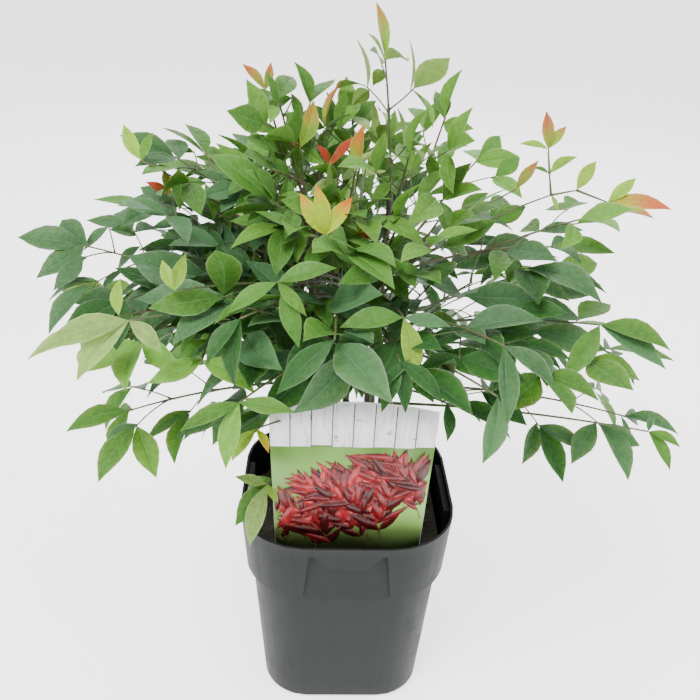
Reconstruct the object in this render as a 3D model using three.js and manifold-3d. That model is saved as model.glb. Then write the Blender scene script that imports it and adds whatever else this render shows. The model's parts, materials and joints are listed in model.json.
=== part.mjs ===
// Heavenly bamboo (Nandina domestica) in a square nursery pot with its plant label.
//
// The pot is a thin tapered box with large round corners and a stepped collar, recessed in the middle of
// each side round a grip tab. A root ball fills it. Canes rise from the root ball, bare leaf stalks leave the
// canes in tiers, and each stalk carries one compound leaf: a jointed rachis with pairs of pinnae, whose
// leaflets sit in opposite pairs and end in threes. Every compound leaf grows by the same seeded rule.
//
// Units are millimetres, +Z is up, +X is to the right and -Y to the front. The origin is the centre of the
// pot's flat underside. Bearings are degrees, counterclockwise from +X as seen from above.

import * as THREE from "three";
import { mergeVertices } from "three/addons/utils/BufferGeometryUtils.js";
import Module from "manifold-3d";

// ---- Driving dimensions

const GAP = 0.3; // clearance between neighbouring solids
const BEYOND = 10; // how far a cutting solid reaches past what it cuts

const POT = {
  height: 160,
  wall: 1.6,
  floor: 2.4,
  cornerSteps: 5,
  // half width and corner radius of the round-cornered section at each level of the body, and of the collar
  foot: { half: 57.5, corner: 31 },
  heel: { half: 59.5, corner: 33, level: 2.5 },
  neck: { half: 68, corner: 42 },
  throat: { half: 71, corner: 44 },
  collar: { half: 71.8, corner: 44, level: 114 },
  rim: { half: 75, corner: 46 },
};
// the recess in the middle of each side of the collar, and the grip tab that hangs in it from the rim
const RECESS = { topHalf: 26, bottomHalf: 30.5, drop: 6.5, under: 5, intoThroat: 0.6 };
const TAB = { topHalf: 24, bottomHalf: 14, height: 13, intoRim: 1 };
const FOOT_NOTCH = { width: 62, height: 1.8, depth: 13 };
const DRAIN = { radius: 4.5, offset: 38, sides: 8 };

const ROOT_BALL = {
  level: 138,
  edgeDrop: 4,
  edgeInset: 2.5,
  top: { half: 40, corner: 36 },
};

const LABEL = {
  width: 104,
  thickness: 0.8,
  shoulder: 262,
  apex: 269,
  footLevel: 136, // where the card starts to narrow to its stake
  footInset: 3,
  stakeTop: { half: 22, level: 110 },
  stakeTip: { half: 4, level: 84 },
  archSteps: 8,
  lean: 6, // degrees towards the front
  front: -54, // y where the label leaves the root ball
  frontLevel: 148,
};

const CANE = { footRadius: 3.1, tipRadius: 1.7, ring: 15, bow: 8, sides: 6, steps: 5 };
// bearing, height of the tip, and how far out the tip leans
const CANES = [
  { bearing: 352, height: 352, reach: 32 },
  { bearing: 40, height: 372, reach: 27 },
  { bearing: 95, height: 345, reach: 34 },
  { bearing: 150, height: 362, reach: 31 },
  { bearing: 195, height: 366, reach: 33 },
  { bearing: 245, height: 338, reach: 27 },
  { bearing: 300, height: 350, reach: 27 },
];

// A tier holds the compound leaves of one habit.
// from: height on the cane where they leave it; without it they stand on the canes' tips.
// stalk: share of the rachis that is bare, which is a limb of its own where limb is true.
// lift: how high the rachis bows over the straight line to its tip.
// sag: how strongly the leaflets hang. blade: length of a leaflet.
// pinnae: leaflets on each pinna, from the first pair to the last.
// leaves: where the tip of each leaf is, by bearing, reach and height.
const TIERS = [
  {
    name: "hanging",
    from: 252,
    stalk: 0.4,
    limb: true,
    lift: 18,
    sag: 0.62,
    blade: 42,
    pinnae: [3, 3, 1],
    leaves: [
      { bearing: 350, reach: 224, height: 230 },
      { bearing: 197, reach: 188, height: 234 },
      { bearing: 234, reach: 130, height: 264 },
      { bearing: 322, reach: 122, height: 250 },
      { bearing: 42, reach: 198, height: 238 },
      { bearing: 92, reach: 188, height: 234 },
      { bearing: 143, reach: 200, height: 228 },
    ],
  },
  {
    name: "spreading",
    from: 286,
    stalk: 0.34,
    lift: 14,
    sag: 0.32,
    blade: 43,
    pinnae: [5, 3, 1],
    leaves: [
      { bearing: 180, reach: 210, height: 346 },
      { bearing: 204, reach: 202, height: 306 },
      { bearing: 348, reach: 204, height: 290 },
      { bearing: 22, reach: 202, height: 308 },
      { bearing: 68, reach: 198, height: 304 },
      { bearing: 118, reach: 202, height: 308 },
    ],
  },
  {
    name: "rising",
    from: 322,
    stalk: 0.26,
    lift: 16,
    sag: 0.12,
    blade: 37,
    pinnae: [3, 3, 1],
    leaves: [
      { bearing: 1, reach: 197, height: 376 },
      { bearing: 172, reach: 146, height: 406 },
      { bearing: 184, reach: 160, height: 372 },
      { bearing: 354, reach: 160, height: 348 },
      { bearing: 246, reach: 104, height: 388 },
      { bearing: 294, reach: 108, height: 388 },
      { bearing: 44, reach: 146, height: 392 },
      { bearing: 96, reach: 138, height: 394 },
      { bearing: 138, reach: 150, height: 378 },
    ],
  },
  {
    name: "crest",
    stalk: 0.1,
    lift: 6,
    sag: 0.3,
    blade: 32,
    pinnae: [3, 3, 1],
    leaves: [
      { bearing: 4, reach: 58, height: 450 },
      { bearing: 60, reach: 14, height: 484 },
      { bearing: 98, reach: 60, height: 436 },
      { bearing: 150, reach: 20, height: 440 },
      { bearing: 180, reach: 58, height: 464 },
      { bearing: 270, reach: 26, height: 424 },
      { bearing: 306, reach: 50, height: 438 },
    ],
  },
  {
    name: "inner",
    from: 268,
    stalk: 0.28,
    lift: 26,
    sag: 0.42,
    blade: 47,
    pinnae: [5, 3],
    leaves: [
      { bearing: 246, reach: 128, height: 344 },
      { bearing: 284, reach: 122, height: 320 },
      { bearing: 314, reach: 132, height: 322 },
      { bearing: 338, reach: 138, height: 286 },
      { bearing: 218, reach: 128, height: 318 },
      { bearing: 274, reach: 106, height: 306 },
      { bearing: 298, reach: 102, height: 308 },
      { bearing: 270, reach: 86, height: 362 },
      { bearing: 166, reach: 128, height: 306 },
      { bearing: 14, reach: 124, height: 322 },
      { bearing: 74, reach: 118, height: 296 },
      { bearing: 128, reach: 118, height: 330 },
    ],
  },
  {
    name: "sprig",
    from: 206,
    stalk: 0.3,
    lift: 14,
    sag: 0.5,
    blade: 34,
    pinnae: [1],
    leaves: [{ bearing: 222, reach: 100, height: 172 }],
  },
];

const STALK = { rootRadius: 1.5, tipRadius: 1.05, sides: 4, steps: 3 };
const RACHIS = { rootRadius: 1.15, tipRadius: 0.8, sides: 3, steps: 3 };
// How far one compound leaf may differ from its tier: how high it leaves the cane, how much its rachis bows
// sideways, the size of its leaflets and how far its face rolls about the rachis.
const SPREAD = { from: 12, sway: 9, blade: 0.08, roll: 16 };
const PINNA = {
  radius: 0.75,
  angle: 57,
  angleSpread: 8,
  sink: 0.14, // how far a pinna may point below its leaf's face, and above it
  rise: 0.28,
  bladesLong: { 5: 1.55, 3: 0.85 }, // its length in leaflets, by how many it carries
  lengthSpread: 0.12,
  pairShare: 0.48, // where the lower pair of five stands
  stagger: 1.1, // how far the two sides of a pair stand before and behind its place
  clearOfStalk: 6,
};
const LEAFLET = {
  widthShare: 0.48,
  widest: 0.48, // share of the length where the blade is widest
  keel: 1, // thickness under the middle
  rootHeight: 0.4,
  neck: 2, // length before and after a twig's end that belongs to its end leaflet's space
  arch: 0.05,
  pairAngle: 54,
  pairSmallest: 0.736, // length of a pair's leaflets as a share of the end leaflet's
  pairLargest: 0.92,
  stagger: 1.1,
  clear: 0.32, // distance kept from other compound leaves
  turnSpread: 9,
  sagSpread: 0.6,
  rollSpread: 24,
  toLight: 0.6, // how far the face turns from the leaf's own plane towards the sky
  tries: 4,
  shrink: 0.9, // size at each try after the first
};

// Seeds: that of the first compound leaf, and the steps to the next leaf, tier, leaflet and try.
const SEED = { first: 4598, leaf: 7919, tier: 158380, ofLeaf: 131, leaflet: 104729, attempt: 7919 };
const STREAM = { factor: 48271, modulus: 2147483647 };

// ---- Repeatable random numbers

function randomStream(seed) {
  let state = seed;
  return (low, high) => {
    state = (state * STREAM.factor) % STREAM.modulus;
    return low + (high - low) * (state / STREAM.modulus);
  };
}

// ---- From three.js geometry to solids and back

const MERGE = 1e-4; // points closer than this are one

const wasm = await Module();
wasm.setup();

function toSolid(geometry) {
  const bare = geometry.clone();
  bare.deleteAttribute("normal");
  bare.deleteAttribute("uv");
  const merged = mergeVertices(bare, MERGE);
  return new wasm.Manifold(
    new wasm.Mesh({
      numProp: 3,
      vertProperties: Float32Array.from(merged.attributes.position.array),
      triVerts: Uint32Array.from(merged.index.array),
    }),
  );
}

function toGeometry(solid) {
  const mesh = solid.getMesh();
  const positions = new Float32Array(mesh.numVert * 3);
  for (let i = 0; i < mesh.numVert; i++) {
    positions.set(mesh.vertProperties.subarray(i * mesh.numProp, i * mesh.numProp + 3), i * 3);
  }
  const geometry = new THREE.BufferGeometry();
  geometry.setAttribute("position", new THREE.BufferAttribute(positions, 3));
  geometry.setIndex(new THREE.BufferAttribute(mesh.triVerts.slice(), 1));
  geometry.computeVertexNormals();
  return geometry;
}

const union = (solids) => solids.reduce((sum, solid) => sum.add(solid));

const largestBody = (solid) => solid.decompose().sort((a, b) => b.volume() - a.volume())[0];

// ---- Basic shapes

const degrees = THREE.MathUtils.degToRad;

// A closed body through convex rings of equally many points, listed from the bottom ring to the top one.
// A blade closes a three-sided body in place of its end face.
function loft(rings, blade) {
  const count = rings[0].length;
  const lastRing = (rings.length - 1) * count;
  const points = rings.flat();
  const faces = [];
  for (let i = 0; i < count; i++) {
    const next = (i + 1) % count;
    for (let k = 0; k < rings.length - 1; k++) {
      const low = k * count;
      const high = low + count;
      faces.push(low + i, low + next, high + next, low + i, high + next, high + i);
    }
  }
  for (let i = 1; i < count - 1; i++) {
    faces.push(0, i + 1, i);
    if (!blade) {
      faces.push(lastRing, lastRing + i, lastRing + i + 1);
    }
  }
  if (blade) {
    const [over, right, left] = [lastRing, lastRing + 1, lastRing + 2];
    faces.push(...bladeFaces(over, right, left, points.length), right, left, points.length + 3);
    points.push(...blade);
  }
  const geometry = new THREE.BufferGeometry().setFromPoints(points);
  geometry.setIndex(faces);
  return geometry;
}

// The outline of a square with round corners, counterclockwise, at one level.
function roundedSquare(half, corner, level) {
  const points = [];
  for (let quarter = 0; quarter < 4; quarter++) {
    for (let k = 0; k <= POT.cornerSteps; k++) {
      const turn = (Math.PI / 2) * (quarter + k / POT.cornerSteps);
      const diagonal = (Math.PI / 2) * (quarter + 0.5);
      const middle = (half - corner) * Math.SQRT2;
      points.push(
        new THREE.Vector3(
          middle * Math.cos(diagonal) + corner * Math.cos(turn),
          middle * Math.sin(diagonal) + corner * Math.sin(turn),
          level,
        ),
      );
    }
  }
  return points;
}

// A ring of points round a place, in the plane of the two given directions, with its first point over it.
function ringRound(place, across, over, radius, sides) {
  return Array.from({ length: sides }, (_, i) => {
    const turn = Math.PI / 2 + (2 * Math.PI * i) / sides;
    return place
      .clone()
      .addScaledVector(across, radius * Math.cos(turn))
      .addScaledVector(over, radius * Math.sin(turn));
  });
}

// A tapering limb along a curve between two of its shares, with its sections square to the curve.
function limb(curve, start, end, { rootRadius, tipRadius, sides, steps }, blade) {
  const level = new THREE.Vector3(0, 0, 1).cross(curve.getPoint(1).sub(curve.getPoint(0))).normalize();
  const rings = [];
  for (let k = 0; k <= steps; k++) {
    const share = THREE.MathUtils.lerp(start, end, k / steps);
    const along = curve.getTangent(share);
    const over = along.clone().cross(level).normalize();
    const across = over.clone().cross(along);
    const radius = THREE.MathUtils.lerp(rootRadius, tipRadius, k / steps);
    rings.push(ringRound(curve.getPoint(share), across, over, radius, sides));
  }
  return loft(rings, blade);
}

// ---- Pot

// The pot's outer form, or with an inset the form of its inside.
function potForm(inset) {
  const section = ({ half, corner }, level) => roundedSquare(half - inset, corner - inset, level);
  const top = POT.height + inset;
  const body = toSolid(
    loft([
      section(POT.foot, inset > 0 ? POT.floor : 0),
      section(POT.heel, POT.heel.level + (inset > 0 ? POT.floor : 0)),
      section(POT.neck, POT.collar.level),
      section(POT.throat, top),
    ]),
  );
  const collar = toSolid(
    loft([section(POT.collar, POT.collar.level + inset), section(POT.rim, top)]),
  );
  let recesses = toSolid(recessWedge(inset));
  if (inset === 0) {
    recesses = recesses.subtract(toSolid(tabWedge()));
  }
  return body.add(collar.subtract(onFourSides(recesses)));
}

const onFourSides = (solid) =>
  union([0, 90, 180, 270].map((turn) => solid.rotate([0, 0, turn])));

// An upright trapezium, as wide as given at its two levels, standing in front of the pot's front side.
function frontWedge(bottomHalf, topHalf, bottom, top, back) {
  const outline = new THREE.Shape([
    new THREE.Vector2(-bottomHalf, bottom),
    new THREE.Vector2(bottomHalf, bottom),
    new THREE.Vector2(topHalf, top),
    new THREE.Vector2(-topHalf, top),
  ]);
  const reach = POT.rim.half + BEYOND;
  const wedge = new THREE.ExtrudeGeometry(outline, { depth: reach - back, bevelEnabled: false });
  return wedge.rotateX(Math.PI / 2).translate(0, -back, 0);
}

function recessWedge(inset) {
  const back = POT.throat.half - inset - RECESS.intoThroat;
  const bottom = POT.collar.level - RECESS.under;
  const top = POT.height - RECESS.drop + inset;
  return frontWedge(RECESS.bottomHalf + inset, RECESS.topHalf + inset, bottom, top, back);
}

function tabWedge() {
  const top = POT.height - RECESS.drop + TAB.intoRim;
  return frontWedge(TAB.bottomHalf, TAB.topHalf, top - TAB.height, top, 0);
}

function makePot() {
  const shell = potForm(0).subtract(potForm(POT.wall));
  const notch = new THREE.BoxGeometry(FOOT_NOTCH.width, 2 * FOOT_NOTCH.depth, 2 * FOOT_NOTCH.height);
  notch.translate(0, -POT.heel.half, 0);
  const drain = new THREE.CylinderGeometry(DRAIN.radius, DRAIN.radius, 4 * POT.floor, DRAIN.sides);
  drain.rotateX(Math.PI / 2).translate(DRAIN.offset, DRAIN.offset, 0);
  return shell.subtract(onFourSides(toSolid(notch))).subtract(onFourSides(toSolid(drain)));
}

// ---- Label

// The label stands upright in the XZ plane and is then leaned about the line where it leaves the root ball.
// grown widens and thickens it, to cut its slot.
function makeLabel(grown = 0) {
  const half = LABEL.width / 2;
  const rise = LABEL.apex - LABEL.shoulder;
  const archRadius = (half ** 2 + rise ** 2) / (2 * rise);
  const sweep = Math.asin(half / archRadius);
  const { stakeTip, stakeTop } = LABEL;
  const outline = new THREE.Shape();
  outline.moveTo(-stakeTip.half - grown, stakeTip.level - grown);
  outline.lineTo(stakeTip.half + grown, stakeTip.level - grown);
  outline.lineTo(stakeTop.half + grown, stakeTop.level);
  outline.lineTo(half - LABEL.footInset + grown, LABEL.footLevel);
  outline.lineTo(half + grown, LABEL.shoulder);
  const archCentre = LABEL.apex - archRadius;
  outline.absarc(0, archCentre, archRadius + grown, Math.PI / 2 - sweep, Math.PI / 2 + sweep);
  outline.lineTo(-half + LABEL.footInset - grown, LABEL.footLevel);
  outline.lineTo(-stakeTop.half - grown, stakeTop.level);
  const thickness = LABEL.thickness + 2 * grown;
  const card = new THREE.ExtrudeGeometry(outline, {
    depth: thickness,
    bevelEnabled: false,
    curveSegments: LABEL.archSteps,
  });
  card.rotateX(Math.PI / 2).translate(0, thickness / 2, -LABEL.frontLevel);
  card.rotateX(degrees(LABEL.lean)).translate(0, LABEL.front, LABEL.frontLevel);
  return toSolid(card);
}

// ---- Root ball

function makeRootBall() {
  const inset = POT.wall + GAP;
  const section = ({ half, corner }, level, more = 0) =>
    roundedSquare(half - inset - more, corner - inset - more, level);
  const { top, level, edgeDrop, edgeInset } = ROOT_BALL;
  const ball = toSolid(
    loft([
      section(POT.foot, POT.floor + GAP),
      section(POT.heel, POT.heel.level + POT.floor + GAP),
      section(POT.neck, POT.collar.level),
      section(POT.neck, level - edgeDrop, edgeInset),
      roundedSquare(top.half, top.corner, level),
    ]),
  );
  return ball.subtract(makeLabel(GAP));
}

// ---- Canes and stalks

const heading = (bearing) =>
  new THREE.Vector3(Math.cos(degrees(bearing)), Math.sin(degrees(bearing)), 0);

function caneCurve(cane) {
  const out = heading(cane.bearing);
  const foot = out.clone().multiplyScalar(CANE.ring).setZ(ROOT_BALL.level + GAP);
  const tip = out.clone().multiplyScalar(cane.reach).setZ(cane.height);
  const bend = out.clone().multiplyScalar(CANE.ring + CANE.bow).setZ((foot.z + tip.z) / 2);
  return new THREE.QuadraticBezierCurve3(foot, bend, tip);
}

// The point of a cane at a height, found by halving.
function canePoint(curve, height) {
  const halvings = 30;
  let low = 0;
  let high = 1;
  for (let i = 0; i < halvings; i++) {
    const middle = (low + high) / 2;
    if (curve.getPoint(middle).z < height) {
      low = middle;
    } else {
      high = middle;
    }
  }
  return curve.getPoint(low);
}

// Level rings, so that the foot is cut flat; grown is added to the radius.
function makeCane(curve, grown = 0) {
  const rings = [];
  for (let k = 0; k <= CANE.steps; k++) {
    const share = k / CANE.steps;
    const radius = THREE.MathUtils.lerp(CANE.footRadius, CANE.tipRadius, share) + grown;
    const across = new THREE.Vector3(1, 0, 0);
    const over = new THREE.Vector3(0, 1, 0);
    rings.push(ringRound(curve.getPoint(share), across, over, radius, CANE.sides));
  }
  return toSolid(loft(rings));
}

function nearestCane(bearing) {
  const turnTo = (cane) => Math.abs(((cane.bearing - bearing + 540) % 360) - 180);
  return CANES.reduce((best, cane) => (turnTo(cane) < turnTo(best) ? cane : best));
}

// ---- Compound leaves

// A direction turned from one direction towards another, square to it, by an angle in degrees.
const turned = (along, across, angle) =>
  along.clone().multiplyScalar(Math.cos(degrees(angle))).addScaledVector(across, Math.sin(degrees(angle)));

// The plan of one compound leaf: its rachis, its twigs and its leaflets, with no solids yet.
function planLeaf(tier, leaf, cane, seed) {
  const random = randomStream(seed);
  const curve = caneCurve(cane);
  const root =
    tier.from === undefined
      ? curve.getPoint(1).add(new THREE.Vector3(0, 0, GAP))
      : canePoint(curve, tier.from + random(-SPREAD.from, SPREAD.from));
  const tip = heading(leaf.bearing).multiplyScalar(leaf.reach).setZ(leaf.height);
  const level = new THREE.Vector3(0, 0, 1).cross(tip.clone().sub(root)).normalize();
  const crest = root.clone().lerp(tip, 0.5).addScaledVector(level, random(-SPREAD.sway, SPREAD.sway));
  crest.z += tier.lift;
  const rachis = new THREE.QuadraticBezierCurve3(root, crest, tip);
  const blade = tier.blade * random(1 - SPREAD.blade, 1 + SPREAD.blade);
  const end = 1 - blade / root.distanceTo(tip);
  const roll = degrees(random(-SPREAD.roll, SPREAD.roll));
  const plan = { rachis, end, twigs: [], leaflets: [] };

  // Directions at a share of the rachis: along it, up from the leaf's face and across it.
  const frameAt = (share) => {
    const along = rachis.getTangent(share);
    const up = along.clone().cross(level).normalize().applyAxisAngle(along, roll);
    return { along, up, across: up.clone().cross(along) };
  };
  let count = 0;
  const newLeaflet = (twig, place, along, up, length, sag) => {
    count += 1;
    const ownSeed = (SEED.ofLeaf * seed + SEED.leaflet * count) % STREAM.modulus;
    return { twig, place, along, up, length, sag, seed: ownSeed };
  };
  const newEndLeaflet = (twig, place, along, frame, length, sag) => {
    const [from, beyond] = [-1, 1].map((way) =>
      place.clone().addScaledVector(frame.along, way * LEAFLET.neck),
    );
    const neck = { from, to: place, beyond, ...frame };
    return { ...newLeaflet(twig, place, along, frame.up, length, sag), neck };
  };
  const addPair = (twig, place, frame, length) => {
    for (const side of [-1, 1]) {
      const rooted = place.clone().addScaledVector(frame.along, side * LEAFLET.stagger);
      const along = turned(frame.along, frame.across, side * LEAFLET.pairAngle);
      const scale = random(LEAFLET.pairSmallest, LEAFLET.pairLargest);
      plan.leaflets.push(newLeaflet(twig, rooted, along, frame.up, length * scale, tier.sag));
    }
  };
  const addPinna = (place, frame, side, leaflets) => {
    const angle = side * (PINNA.angle + random(-PINNA.angleSpread, PINNA.angleSpread));
    const along = turned(frame.along, frame.across, angle);
    along.addScaledVector(frame.up, random(-PINNA.sink, PINNA.rise)).normalize();
    const across = frame.up.clone().cross(along).normalize();
    const pinnaFrame = { along, across, up: along.clone().cross(across) };
    const spread = random(1 - PINNA.lengthSpread, 1 + PINNA.lengthSpread);
    const length = PINNA.bladesLong[leaflets] * blade * spread;
    const from = place.clone().addScaledVector(frame.along, side * PINNA.stagger);
    const to = from.clone().addScaledVector(along, length);
    const twig = plan.twigs.push({ from, to, ...pinnaFrame }) - 1;
    if (leaflets === 5) {
      addPair(twig, from.clone().lerp(to, PINNA.pairShare), pinnaFrame, blade);
    }
    addPair(twig, to.clone().addScaledVector(along, -2 * LEAFLET.stagger), pinnaFrame, blade);
    plan.twigs[twig].leaflet = newEndLeaflet(twig, to, along, pinnaFrame, blade, tier.sag);
  };

  const last = tier.pinnae.length - 1;
  const first = tier.stalk + PINNA.clearOfStalk / rachis.getLength();
  tier.pinnae.forEach((leaflets, k) => {
    const share = THREE.MathUtils.lerp(first, end, last > 0 ? k / last : 1);
    const frame = frameAt(share);
    const place = rachis.getPoint(share);
    if (leaflets === 1) {
      addPair(-1, place.addScaledVector(frame.along, -2 * LEAFLET.stagger), frame, blade);
    } else {
      place.addScaledVector(frame.along, k === last ? -2 * PINNA.stagger : 0);
      addPinna(place, frame, -1, leaflets);
      addPinna(place, frame, 1, leaflets);
    }
  });
  const endPlace = rachis.getPoint(end);
  const toTip = tip.clone().sub(endPlace);
  const toEnd = toTip.clone().normalize();
  plan.leaflet = newEndLeaflet(-1, endPlace, toEnd, frameAt(end), toTip.length(), 0);
  return plan;
}

// How a leaflet hangs at one of its tries: turned, rolled and drooping by chance, and smaller at each try.
function poseLeaflet(leaflet, attempt) {
  const random = randomStream((leaflet.seed + SEED.attempt * attempt) % STREAM.modulus);
  const spread = LEAFLET.turnSpread * (1 + attempt);
  const across = leaflet.up.clone().cross(leaflet.along).normalize();
  const along = turned(leaflet.along, across, random(-spread, spread));
  along.z -= leaflet.sag * random(1 - LEAFLET.sagSpread, 1 + LEAFLET.sagSpread);
  along.normalize();
  const up = leaflet.up.clone().lerp(new THREE.Vector3(0, 0, 1), LEAFLET.toLight);
  up.addScaledVector(along, -up.dot(along)).normalize();
  up.applyAxisAngle(along, degrees(random(-LEAFLET.rollSpread, LEAFLET.rollSpread)));
  return { place: leaflet.place, along, up, length: leaflet.length * LEAFLET.shrink ** attempt };
}

// Directions across a leaflet's blade and up from its face.
function sidesOf({ along, up }) {
  const across = up.clone().cross(along).normalize();
  return { across, face: along.clone().cross(across) };
}

// A leaflet's blade: its right and left side where it is widest, its tip, and the keel under its middle.
function bladePoints(pose) {
  const { place, along, length } = pose;
  const { across, face } = sidesOf(pose);
  const halfWidth = (length * LEAFLET.widthShare) / 2;
  const middle = place.clone().addScaledVector(along, length * LEAFLET.widest);
  middle.addScaledVector(face, length * LEAFLET.arch);
  return [
    middle.clone().addScaledVector(across, -halfWidth),
    middle.clone().addScaledVector(across, halfWidth),
    place.clone().addScaledVector(along, length),
    middle.addScaledVector(face, -LEAFLET.keel),
  ];
}

// The eight faces from the points of a root to those of a blade, which are numbered from first.
function bladeFaces(over, underRight, underLeft, first) {
  const [right, left, tip, keel] = [first, first + 1, first + 2, first + 3];
  return [
    over, right, left, left, right, tip, over, underRight, right, underLeft, over, left,
    underRight, keel, right, right, keel, tip, tip, keel, left, left, keel, underLeft,
  ];
}

// A leaflet that starts as a short upright edge within its twig.
function leafletSolid(pose) {
  const { face } = sidesOf(pose);
  const half = LEAFLET.rootHeight / 2;
  const root = [half, -half].map((height) => pose.place.clone().addScaledVector(face, height));
  const geometry = new THREE.BufferGeometry().setFromPoints([...root, ...bladePoints(pose)]);
  geometry.setIndex(bladeFaces(0, 1, 1, 2));
  return toSolid(geometry);
}

function twigSolid({ from, to, across, up }, grown = 0, blade = undefined) {
  const rings = [from, to].map((end) => ringRound(end, across, up, PINNA.radius + grown, 3));
  return toSolid(loft(rings, blade));
}

// The space a leaflet needs: a kite-shaped slab round its blade, and the end of the twig whose tip it is.
function leafletSpace({ neck }, pose) {
  const { across, face } = sidesOf(pose);
  const [right, left, tip] = bladePoints(pose);
  const outline = [
    right.addScaledVector(across, -LEAFLET.clear),
    tip.addScaledVector(pose.along, LEAFLET.clear),
    left.addScaledVector(across, LEAFLET.clear),
    pose.place.clone().addScaledVector(pose.along, -LEAFLET.clear),
  ];
  const raised = (height) => outline.map((point) => point.clone().addScaledVector(face, height));
  const top = raised(LEAFLET.clear);
  top[3].addScaledVector(face, neck ? PINNA.radius : 0);
  const slab = toSolid(loft([raised(-LEAFLET.keel - LEAFLET.clear), top]));
  return neck ? slab.add(twigSolid({ ...neck, to: neck.beyond }, LEAFLET.clear)) : slab;
}

// ---- Keeping every compound leaf to its own space

const taken = []; // what stands already: { solid, box, owner, twig }

function boxOf(solid) {
  const { min, max } = solid.boundingBox();
  return new THREE.Box3(new THREE.Vector3(...min), new THREE.Vector3(...max));
}

function take(solid, owner, twig) {
  taken.push({ solid, box: boxOf(solid), owner, twig });
}

// True if a solid touches nothing that stands already, of what the test picks out.
function isClear(solid, test) {
  const box = boxOf(solid);
  return !taken.some(
    (other) =>
      test(other) && other.box.intersectsBox(box) && !solid.intersect(other.solid).isEmpty(),
  );
}

const isOthers = (owner) => (other) => other.owner !== owner;

// The first pose of a leaflet that is clear of the other compound leaves, and of its own but for its twig.
function findPose(leaflet, owner) {
  const ownParts = (other) => other.owner === owner && other.twig !== leaflet.twig;
  for (let attempt = 0; attempt < LEAFLET.tries; attempt++) {
    const pose = poseLeaflet(leaflet, attempt);
    if (isClear(leafletSpace(leaflet, pose), isOthers(owner)) && isClear(leafletSolid(pose), ownParts)) {
      const body = leaflet.neck ? twigSolid(leaflet.neck, 0, bladePoints(pose)) : leafletSolid(pose);
      take(body, owner, leaflet.twig);
      return pose;
    }
  }
  return null;
}

// ---- Assembly

const MATERIALS = {
  pot: new THREE.MeshStandardMaterial({ color: 0x4b4e4d, roughness: 0.55, metalness: 0 }),
  rootBall: new THREE.MeshStandardMaterial({ color: 0x1d1712, roughness: 1, metalness: 0 }),
  label: new THREE.MeshStandardMaterial({ color: 0xe4e6e4, roughness: 0.35, metalness: 0 }),
  cane: new THREE.MeshStandardMaterial({ color: 0x5d5138, roughness: 0.8, metalness: 0 }),
  stalk: new THREE.MeshStandardMaterial({ color: 0x6c5a45, roughness: 0.6, metalness: 0 }),
  foliage: new THREE.MeshStandardMaterial({ color: 0x3f7a2e, roughness: 0.45, metalness: 0 }),
};

const model = new THREE.Group();

function addNode(name, solid, material) {
  const mesh = new THREE.Mesh(toGeometry(solid), material);
  mesh.name = name;
  model.add(mesh);
}

function addSolid(name, solid, material) {
  addNode(name, solid, material);
  take(solid, name);
}

addSolid("pot", makePot(), MATERIALS.pot);
addSolid("root_ball", makeRootBall(), MATERIALS.rootBall);
addSolid("label", makeLabel(), MATERIALS.label);
CANES.forEach((cane, i) => addSolid(`cane_${i + 1}`, makeCane(caneCurve(cane)), MATERIALS.cane));

// The stem of a compound leaf between two shares of its rachis, cut back to stand clear of its cane.
function stemSolid(rachis, cane, start, end, form, blade) {
  const whole = toSolid(limb(rachis, start, end, form, blade));
  return largestBody(whole.subtract(makeCane(caneCurve(cane), GAP)));
}

// Every stem stands before the first leaflet. The long leaves have a bare stalk, which is a limb of its own.
const sprays = [];
TIERS.forEach((tier, tierIndex) => {
  tier.leaves.forEach((leaf, i) => {
    const cane = tier.from === undefined ? CANES[i] : nearestCane(leaf.bearing);
    const seed = SEED.first + SEED.tier * tierIndex + SEED.leaf * i;
    const plan = planLeaf(tier, leaf, cane, seed);
    const name = `${tier.name}_leaf_${i + 1}`;
    let start = 0;
    if (tier.limb) {
      const stalk = stemSolid(plan.rachis, cane, 0, tier.stalk, STALK);
      addSolid(`${tier.name}_stalk_${i + 1}`, stalk, MATERIALS.stalk);
      start = tier.stalk + GAP / plan.rachis.getLength();
    }
    const stem = (blade) => stemSolid(plan.rachis, cane, start, plan.end, RACHIS, blade);
    take(stem(), name, -1);
    sprays.push({ name, plan, stem, parts: [] });
  });
});

// Then the leaflet at each rachis's end, and the twigs that are clear.
for (const { name, plan, stem, parts } of sprays) {
  const pose = findPose(plan.leaflet, name);
  parts.push(pose ? stem(bladePoints(pose)) : stem());
  plan.twigs.forEach((twig, i) => {
    twig.stands = isClear(twigSolid(twig, GAP), isOthers(name));
    if (twig.stands) {
      take(twigSolid(twig), name, i);
    }
  });
}

// Then the leaflets at the twigs' ends, before any pair.
for (const { name, plan, parts } of sprays) {
  for (const twig of plan.twigs.filter((each) => each.stands)) {
    const pose = findPose(twig.leaflet, name);
    parts.push(pose ? twigSolid(twig, 0, bladePoints(pose)) : twigSolid(twig));
  }
}

for (const { name, plan, parts } of sprays) {
  const rooted = plan.leaflets.filter(({ twig }) => twig < 0 || plan.twigs[twig].stands);
  const poses = rooted.map((leaflet) => findPose(leaflet, name)).filter(Boolean);
  parts.push(...poses.map((pose) => leafletSolid(pose)));
}

for (const { name, parts } of sprays) {
  addNode(name, largestBody(union(parts)), MATERIALS.foliage);
}

export default model;
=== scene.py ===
"""Potted heavenly bamboo: the looks of the pot, soil, label, canes, leaf stalks and leaflets."""

import json
import math
from collections import namedtuple
from contextlib import contextmanager
from dataclasses import dataclass, field
from itertools import count
from types import SimpleNamespace as Values

import bmesh
import bpy
import numpy as np
from bpy.props import FloatProperty, FloatVectorProperty, IntProperty, PointerProperty
from bpy.types import Operator, Panel, PropertyGroup
from mathutils import Euler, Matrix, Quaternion, Vector

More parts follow.
